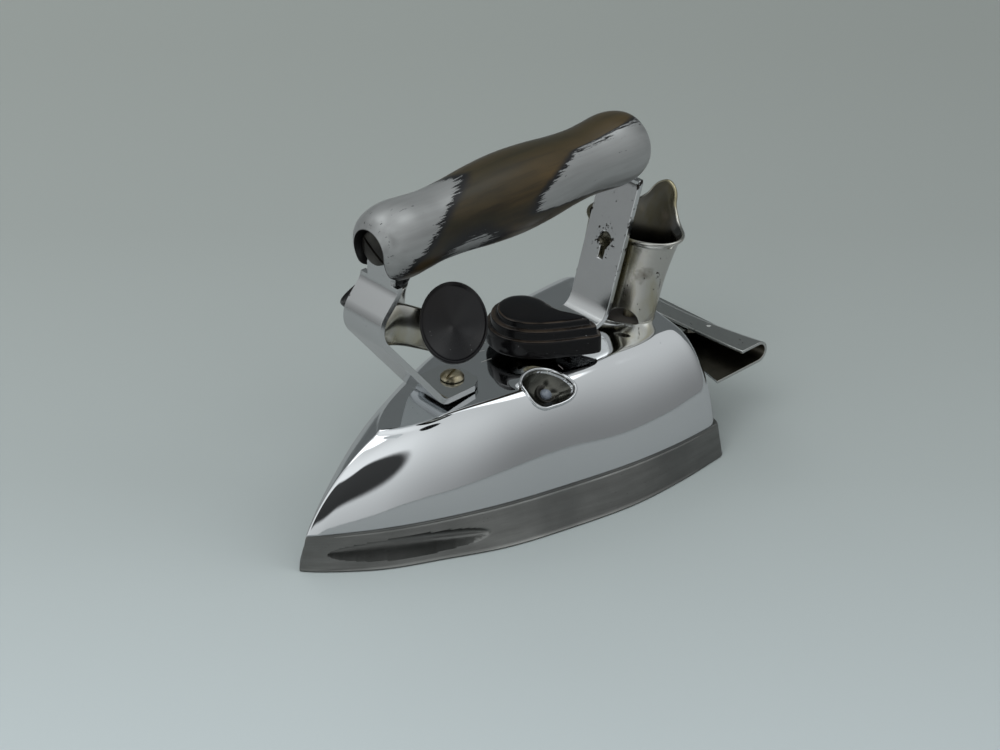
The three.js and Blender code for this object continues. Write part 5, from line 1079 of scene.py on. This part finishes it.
def dial_profile():
    """Stepped side of the dial as (inset, height), each step rounded above and below."""
    first, second, third = DIAL_LEDGES
    return [(2.4, 0.0), (0.5, 0.0), (0.12, 0.12), (0.0, 0.5), (0.05, 3.0),
            (0.12, first - 0.9), (0.22, first - 0.35), (0.45, first - 0.06), (0.8, first),
            (1.35, first + 0.02), (1.62, first + 0.1), (1.72, first + 0.35),
            (1.8, second - 0.8), (1.9, second - 0.35), (2.12, second - 0.06), (2.5, second),
            (3.5, second + 0.02), (3.98, second + 0.1), (4.08, second + 0.35),
            (4.16, third - 0.7), (4.28, third - 0.3), (4.55, third - 0.04), (4.9, third)]


def build_dial():
    """Stepped knob with a comma-shaped tail, turned to the photographed setting."""
    turns, reach = np.array(DIAL_SHARES).T * [[2 * math.pi], [DIAL_REACH]]
    line = catmull(np.column_stack([reach * np.cos(turns), reach * np.sin(turns)]), 320, closed=True)
    ahead = unit(np.roll(line, -3, axis=0) - np.roll(line, 3, axis=0))
    inward = np.column_stack([ahead[:, 1], -ahead[:, 0]])
    rings = [np.column_stack([inset_ring(line, inward, inset), np.full(len(line), height)])
             for inset, height in dial_profile()]
    edge, top = rings[-1][:, :2], DIAL_LEDGES[-1]
    crest = catmull(DIAL_CREST, 60)
    nearest = np.linalg.norm(edge[:, None, :] - crest[None, :, :], axis=2).argmin(axis=1)
    run = nearest / (len(crest) - 1)
    rise = CROWN_RISE * (1 - TAIL_FALL_SHARE * smoothstep(*TAIL_SHARES, run))
    for share in np.linspace(0, 1, CROWN_ROWS + 1)[1:]:
        flat = edge + (crest[nearest] - edge) * share
        rings.append(np.column_stack([flat, top + rise * np.sqrt(1 - (1 - share) ** CROWN_POWER)]))
    points = np.vstack(rings) + (DIAL_X, 0, DIAL_BASE)
    faces = grid_faces(len(rings), len(line)) + [tuple(range(len(line)))]
    piece("dial_lever", points, faces, DIAL_BLACK, body="dial", replaces=["dial_knob"],
          sharp=70, merge=0.01)


# Plug guard

GUARD_SIDES, GUARD_STEPS, GUARD_FOOT_Z = 240, 60, 39.6
GUARD_TOP, TONGUE_RISE, TONGUE_SPREAD, TONGUE_POINT, TONGUE_POWER = 78.3, 11.1, 0.94, 0.17, 3.6
ARCH_RADIUS, ARCH_Y = 6.0, 11.5
FLARE_FROM_Z, FLARE_TO_Z, FLARE, FLARE_WIDTH_SHARE, CURL = 60.0, 89.4, 4.5, 0.8, 0.9
TONGUE_WIDEN_Z, TONGUE_WIDEN_SHARE = (83.0, 88.5), 0.4
GUARD_BEAD, GUARD_BEAD_INSET, GUARD_BEAD_SIDES = 0.72, 0.35, 14


def build_guard():
    """Leaning oval sheet with two arches at the foot of its front, a pointed tongue and a beaded top edge."""
    turns = full_turn(GUARD_SIDES)
    cos, sin = np.cos(turns), np.sin(turns)
    off = np.abs(np.angle(np.exp(1j * turns)))
    tongue = np.clip(1 - (np.hypot(off, TONGUE_POINT) - TONGUE_POINT) / TONGUE_SPREAD, 0, 1)
    top = GUARD_TOP + TONGUE_RISE * tongue**TONGUE_POWER
    arch = np.zeros(GUARD_SIDES)
    for sign in (-1, 1):
        away = GUARD_HALF_WIDTH * sin - sign * ARCH_Y
        arch = np.maximum(arch, np.where(cos < 0, np.sqrt(np.clip(ARCH_RADIUS**2 - away**2, 0, None)), 0))
    foot = np.where(arch > 0, DECK_HEIGHT + arch, GUARD_FOOT_Z)
    rows = []
    for share in np.linspace(0, 1, GUARD_STEPS):
        height = foot + (top - foot) * share
        flare = FLARE * np.clip((height - FLARE_FROM_Z) / (FLARE_TO_Z - FLARE_FROM_Z), 0, 1) ** 1.5
        curl = CURL * smoothstep(0.93, 1.0, share) * (1 - 0.5 * tongue)
        widen = 1 + TONGUE_WIDEN_SHARE * smoothstep(*TONGUE_WIDEN_Z, height)
        centre = GUARD_X + (height - DECK_HEIGHT) * LEAN + flare / 2
        x = centre + (GUARD_HALF_DEPTH + flare / 2 + curl) * cos
        y = (GUARD_HALF_WIDTH + flare * FLARE_WIDTH_SHARE + curl) * sin * widen
        rows.append(np.column_stack([x, y, height]))
    obj = piece("guard_sheet", np.vstack(rows), grid_faces(GUARD_STEPS, GUARD_SIDES), NICKEL,
                replaces=["plug_guard"], sharp=60)
    # The guard's inner faces take the nickel painted dark as shade
    thicken(obj, GUARD_WALL).material_offset = 1
    obj.data.materials.append(GUARD_INSIDE_SHADE)

    rim = rows[-1]
    ahead = unit(np.roll(rim, -1, axis=0) - np.roll(rim, 1, axis=0))
    out = np.column_stack([cos, sin, np.zeros(GUARD_SIDES)])
    out = unit(out - ahead * np.sum(out * ahead, axis=1)[:, None])
    up = np.cross(ahead, out)
    bead = [rim - out * GUARD_BEAD_INSET + (out * math.cos(t) + up * math.sin(t)) * GUARD_BEAD
            for t in full_turn(GUARD_BEAD_SIDES)]
    bead.append(bead[0])
    verts = np.stack(bead).reshape(-1, 3)
    piece("guard_bead", verts, grid_faces(len(bead), GUARD_SIDES), NICKEL, sharp=60,
          merge=0.001)


# Heel rest

HEEL_REACH_X, HEEL_HALF, HEEL_SHEET, HEEL_LOW, HEEL_GAP = HEEL_X + 16.5, 44.0, 1.2, 28.0, 6.4
HEEL_ROLL, ROLL_HOLLOW, FLANGE_SETBACK, FLANGE_HOLLOW, FLANGE_START = 4.0, 5.2, 9.5, 1.7, 1.5
LOWER_BOW, LOWER_BOW_HALF, LOWER_START = 7.0, 47.0, 2.0
HEEL_SECTIONS, HEEL_EDGE, RIVET_X = 49, 0.3, NOSE_X + 182.3
RIVET_PROFILE = [(TIP, 0.35), (0.8, 0.33), (1.3, 0.12), (1.4, -0.3), (1.2, -4.5), (TIP, -4.5)]


def heel_section(out):
    """Outline of the folded sheet, seen from the side, at a distance from the middle."""
    hollow = 1 - (out / HEEL_HALF) ** 2
    roll_x = HEEL_REACH_X - ROLL_HOLLOW * hollow
    flange_x = HEEL_REACH_X - FLANGE_SETBACK - FLANGE_HOLLOW * hollow
    lower_x = HEEL_X - LOWER_BOW * (out / LOWER_BOW_HALF) ** 2
    upper, lower = HEEL_LOW + HEEL_GAP + HEEL_SHEET * 1.5, HEEL_LOW + HEEL_SHEET / 2
    middle, rise = (upper + lower) / 2, (upper - lower) / 2
    path = [(flange_x, upper), (flange_x + FLANGE_START, upper)]
    path += [(roll_x + HEEL_ROLL * math.cos(t), middle + rise * math.sin(t))
             for t in np.linspace(math.pi / 2, -math.pi / 2, 25)]
    path += [(lower_x + LOWER_START, lower), (lower_x, lower)]
    loop = sheet_loop(path, HEEL_SHEET)
    return np.column_stack([loop[:, 0], np.full(len(loop), out), loop[:, 1]])


def build_heel():
    """Folded sheet of the heel rest, its inner side chrome painted dark as shade."""
    sections = [heel_section(out) for out in np.linspace(-HEEL_HALF, HEEL_HALF, HEEL_SECTIONS)]
    count, walls = len(sections[0]), (HEEL_SECTIONS - 1) * len(sections[0])
    faces = grid_faces(HEEL_SECTIONS, count) + sheet_end(count, 0) + sheet_end(count, walls)
    obj = piece("heel_fold", np.vstack(sections), faces, HEEL_CHROME, replaces=["heel_rest"],
                sharp=30)
    # inner faces of the fold take the chrome painted dark as shade
    second_paint(obj, HEEL_INSIDE_SHADE, lambda index: index < walls and count // 2 <= index % count < count - 1)
    bevel(obj, HEEL_EDGE, 3, 50)


def build_rivets():
    """Flat heads of the heel rest's rivets, almost flush with its sheet."""
    points, faces = turned(RIVET_PROFILE, 32)
    for name, side in (("port", -1), ("starboard", 1)):
        place = (RIVET_X, side * HEEL_HALF / 2, HEEL_LOW + HEEL_GAP + HEEL_SHEET * 2)
        piece("heel_rivet_flat_" + name, points + place, faces, HEEL_CHROME, replaces=["heel_rivet_" + name],
              sharp=50)


# Pilot lamp

LENS_RADIUS, LENS_RISE, LENS_STEM, LENS_LIFT = 2.2, 1.5, 3.6, 0.3
LENS_ALONG, LENS_DOWN = 2.1, 1.0

# Section of the ring about the lens: (radius, height over the lens's foot)
LAMP_RING = [(2.3, -1.5), (4.1, -1.5), (4.1, 0.3), (3.8, 0.65), (3.2, 0.6), (2.6, 0.25), (2.3, 0),
             (2.3, -1.5)]


def build_lamp():
    """Domed lens in a dark ring at the foot of the pocket."""
    foot = PILOT + PILOT_BASIS @ (LENS_ALONG, -LENS_DOWN, LENS_LIFT - POCKET_DEPTH)
    dome = [(LENS_RADIUS, -LENS_STEM), (LENS_RADIUS, 0)]
    dome += [(LENS_RADIUS * math.cos(t), LENS_RISE * math.sin(t))
             for t in np.linspace(0.12, math.pi / 2 - 0.02, 16)]
    points, faces = turned(dome, 64)
    piece("lamp_lens_dome", points @ PILOT_BASIS.T + foot, faces, LENS, replaces=["pilot_lens"],
          sharp=60)
    points, faces = turned(LAMP_RING, 64, caps=False)
    piece("lamp_ring", points @ PILOT_BASIS.T + foot, faces, DARK_STEEL, sharp=50, merge=0.001)


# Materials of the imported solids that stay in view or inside

def dress_nodes():
    finish = {"sole_metal": CAST, "chrome": HEEL_CHROME, "worn_nickel": NICKEL, "painted_wood": WOOD,
              "black_moulding": BLACK, "steel": STEEL, "brass": BRASS, "ceramic": CERAMIC, "mica": MICA,
              "glass": LENS, "wire": SLEEVE}
    slots = {row["node"]: row["material_slot"] for row in frame["record"]["subparts"]}
    for name, obj in frame["nodes"].items():
        obj.data.materials.clear()
        obj.data.materials.append(finish[slots[name]])
        obj.data.set_sharp_from_angle(angle=math.radians(35))
    bevel(frame["nodes"]["heel_bracket"], HEEL_EDGE, 3, 50)


# Studio, in metres

FLOOR_HALF, FLOOR_FRONT, FLOOR_BACK, COVE_RADIUS, WALL_TOP = 6.4, -4.0, 2.6, 1.2, 5.0

# Floor colour by distance along the line of sight and across it, painted as a falloff of light, and what the
# chrome mirrors of the floor
FLOOR_FALLOFF_TONES = [(-0.15, rgb(0.480, 0.532, 0.543)), (0.0, rgb(0.384, 0.422, 0.420)),
               (0.2, rgb(0.322, 0.349, 0.339)), (0.4, rgb(0.306, 0.330, 0.316))]
FLOOR_MIRRORED, FLOOR_SIDE_FALLOFF_REACH, FLOOR_SIDE_FALLOFF = rgb(0.30, 0.315, 0.315), 0.25, 0.09

# Brightness of the sky, and its round patches: (direction, cosines where they start and are full, strength)
SKY_LEVEL, SKY_TOP, SKY_COLOR = 0.22, 0.42, rgb(0.965, 0.995, 1.0)
SKY_PATCHES = [((-0.85, -0.40, 0.35), 0.3, 0.97, 0.42), ((0.36, -0.2, 0.91), 0.972, 0.988, 1.2),
               ((-0.18, 0.38, 0.91), 0.965, 0.985, 1.3)]
CAMERA_SHADE = ((-0.585, -0.627, 0.515), 0.925, 0.955, 0.95)

# Lamps: name, place, width, height, watts, colour
LAMPS = [("key", (-0.9, -0.5, 1.5), 1.1, 0.9, 9, (0.98, 1.0, 1.0)),
         ("fill", (0.9, -1.1, 1.2), 1.0, 1.0, 5, (0.97, 0.99, 1.0)),
         ("rear", (0.5, 1.3, 1.4), 1.3, 0.8, 4, (1, 1, 1))]
LAMP_TARGET = (0, 0, 0.03)

CAMERA_PLACE = Vector((-496.7, -543.5, 487.3)) * MM
CAMERA_UP, CAMERA_AHEAD = (0.3513, 0.3767, 0.8572), (0.5846, 0.6269, -0.5150)
CAMERA_LENS, CAMERA_SENSOR = 86.4, 36.0


def floor_paint():
    """Grey cloth with painted light: darker away from the camera and toward the right, plainer and darker
    where the chrome mirrors it.
    """
    p = Paint("studio_floor")
    seen = p.node("ShaderNodeLightPath").outputs["Is Camera Ray"]
    x, y, _ = p.axes()
    away = p.add(p.times(x, float(AWAY[0])), p.times(y, float(AWAY[1])))
    across = p.add(p.times(x, float(ACROSS[0])), p.times(y, float(ACROSS[1])))
    # Painted light: the cloth darker away from the camera
    cloth_and_falloff = FLOOR_FALLOFF_TONES[0][1]
    for (start, _), (stop, tone) in zip(FLOOR_FALLOFF_TONES, FLOOR_FALLOFF_TONES[1:]):
        cloth_and_falloff = p.mix(p.span(away, start, stop), cloth_and_falloff, tone)
    # Painted light: brighter to the left across the line of sight and darker to the right
    side_falloff = p.node("ShaderNodeVectorMath", operation="SCALE")
    p.wire(cloth_and_falloff, side_falloff.inputs[0])
    p.fill(side_falloff, Scale=p.span(across, -FLOOR_SIDE_FALLOFF_REACH, FLOOR_SIDE_FALLOFF_REACH, 1 + FLOOR_SIDE_FALLOFF, 1 - FLOOR_SIDE_FALLOFF))
    return p.set(p.mix(seen, FLOOR_MIRRORED, side_falloff.outputs[0]), 0.75, Specular_IOR_Level=0.1)


def build_floor():
    """Level floor that curves up into a wall behind the iron."""
    rows = [(FLOOR_FRONT, 0.0), (FLOOR_BACK, 0.0)]
    rows += [(FLOOR_BACK + COVE_RADIUS * math.sin(t), COVE_RADIUS * (1 - math.cos(t)))
             for t in np.linspace(0.1, math.pi / 2, 24)]
    rows.append((FLOOR_BACK + COVE_RADIUS, WALL_TOP))
    verts = [(*(AWAY * away + ACROSS * across), height) for away, height in rows
             for across in (-FLOOR_HALF, FLOOR_HALF)]
    faces = [(i * 2, i * 2 + 1, i * 2 + 3, i * 2 + 2) for i in range(len(rows) - 1)]
    floor = bpy.data.meshes.new("floor")
    floor.from_pydata(verts, [], faces)
    floor.shade_smooth()
    floor.materials.append(floor_paint())
    link("studio_floor", floor)


def build_sky():
    world = bpy.data.worlds.new("studio")
    bpy.context.scene.world = world
    world.use_nodes = True
    n = Nodes(world.node_tree, "Generated")

    def glow(toward, start, full, strength):
        """Soft round patch of light, or of dark, about one direction."""
        dot = n.node("ShaderNodeVectorMath", operation="DOT_PRODUCT")
        n.wire(n.place, dot.inputs[0])
        n.wire(Vector(toward).normalized(), dot.inputs[1])
        return n.span(dot.outputs["Value"], start, full, 0.0, strength, "SMOOTHSTEP")

    level = n.add(SKY_LEVEL, glow((0, 0, 1), 0.0, 1.0, SKY_TOP))
    for patch in SKY_PATCHES:
        level = n.add(level, glow(*patch))
    level = n.times(level, n.minus(1.0, glow(*CAMERA_SHADE)))
    n.fill(n.tree.nodes["Background"], Color=SKY_COLOR, Strength=level)


def build_lamps():
    """Area lamps turned toward the iron and not mirrored by it."""
    for name, place, width, height, watts, color in LAMPS:
        data = bpy.data.lights.new(name, "AREA")
        data.shape = "RECTANGLE"
        data.size, data.size_y = width, height
        data.energy = watts
        data.color = color
        lamp = link(name, data)
        lamp.location = place
        lamp.rotation_euler = (Vector(LAMP_TARGET) - Vector(place)).to_track_quat("-Z", "Y").to_euler()
        lamp.visible_glossy = False


def build_camera():
    data = bpy.data.cameras.new("camera")
    data.lens, data.sensor_width = CAMERA_LENS, CAMERA_SENSOR
    data.clip_start, data.clip_end = 0.01, 40
    right = Vector((*ACROSS, 0))
    turn = Matrix((right, Vector(CAMERA_UP), -Vector(CAMERA_AHEAD))).transposed().to_4x4()
    camera = link("camera", data)
    camera.matrix_world = Matrix.Translation(CAMERA_PLACE) @ turn
    bpy.context.scene.camera = camera
    bpy.context.scene.view_settings.view_transform = "Standard"


for build in (build_sole, build_shell, build_ticks, build_straps, build_handle, build_screws,
              build_thumb_rests, build_saddle, build_dial, build_guard, build_heel, build_rivets, build_lamp,
              dress_nodes, build_floor, build_sky, build_lamps, build_camera):
    build()
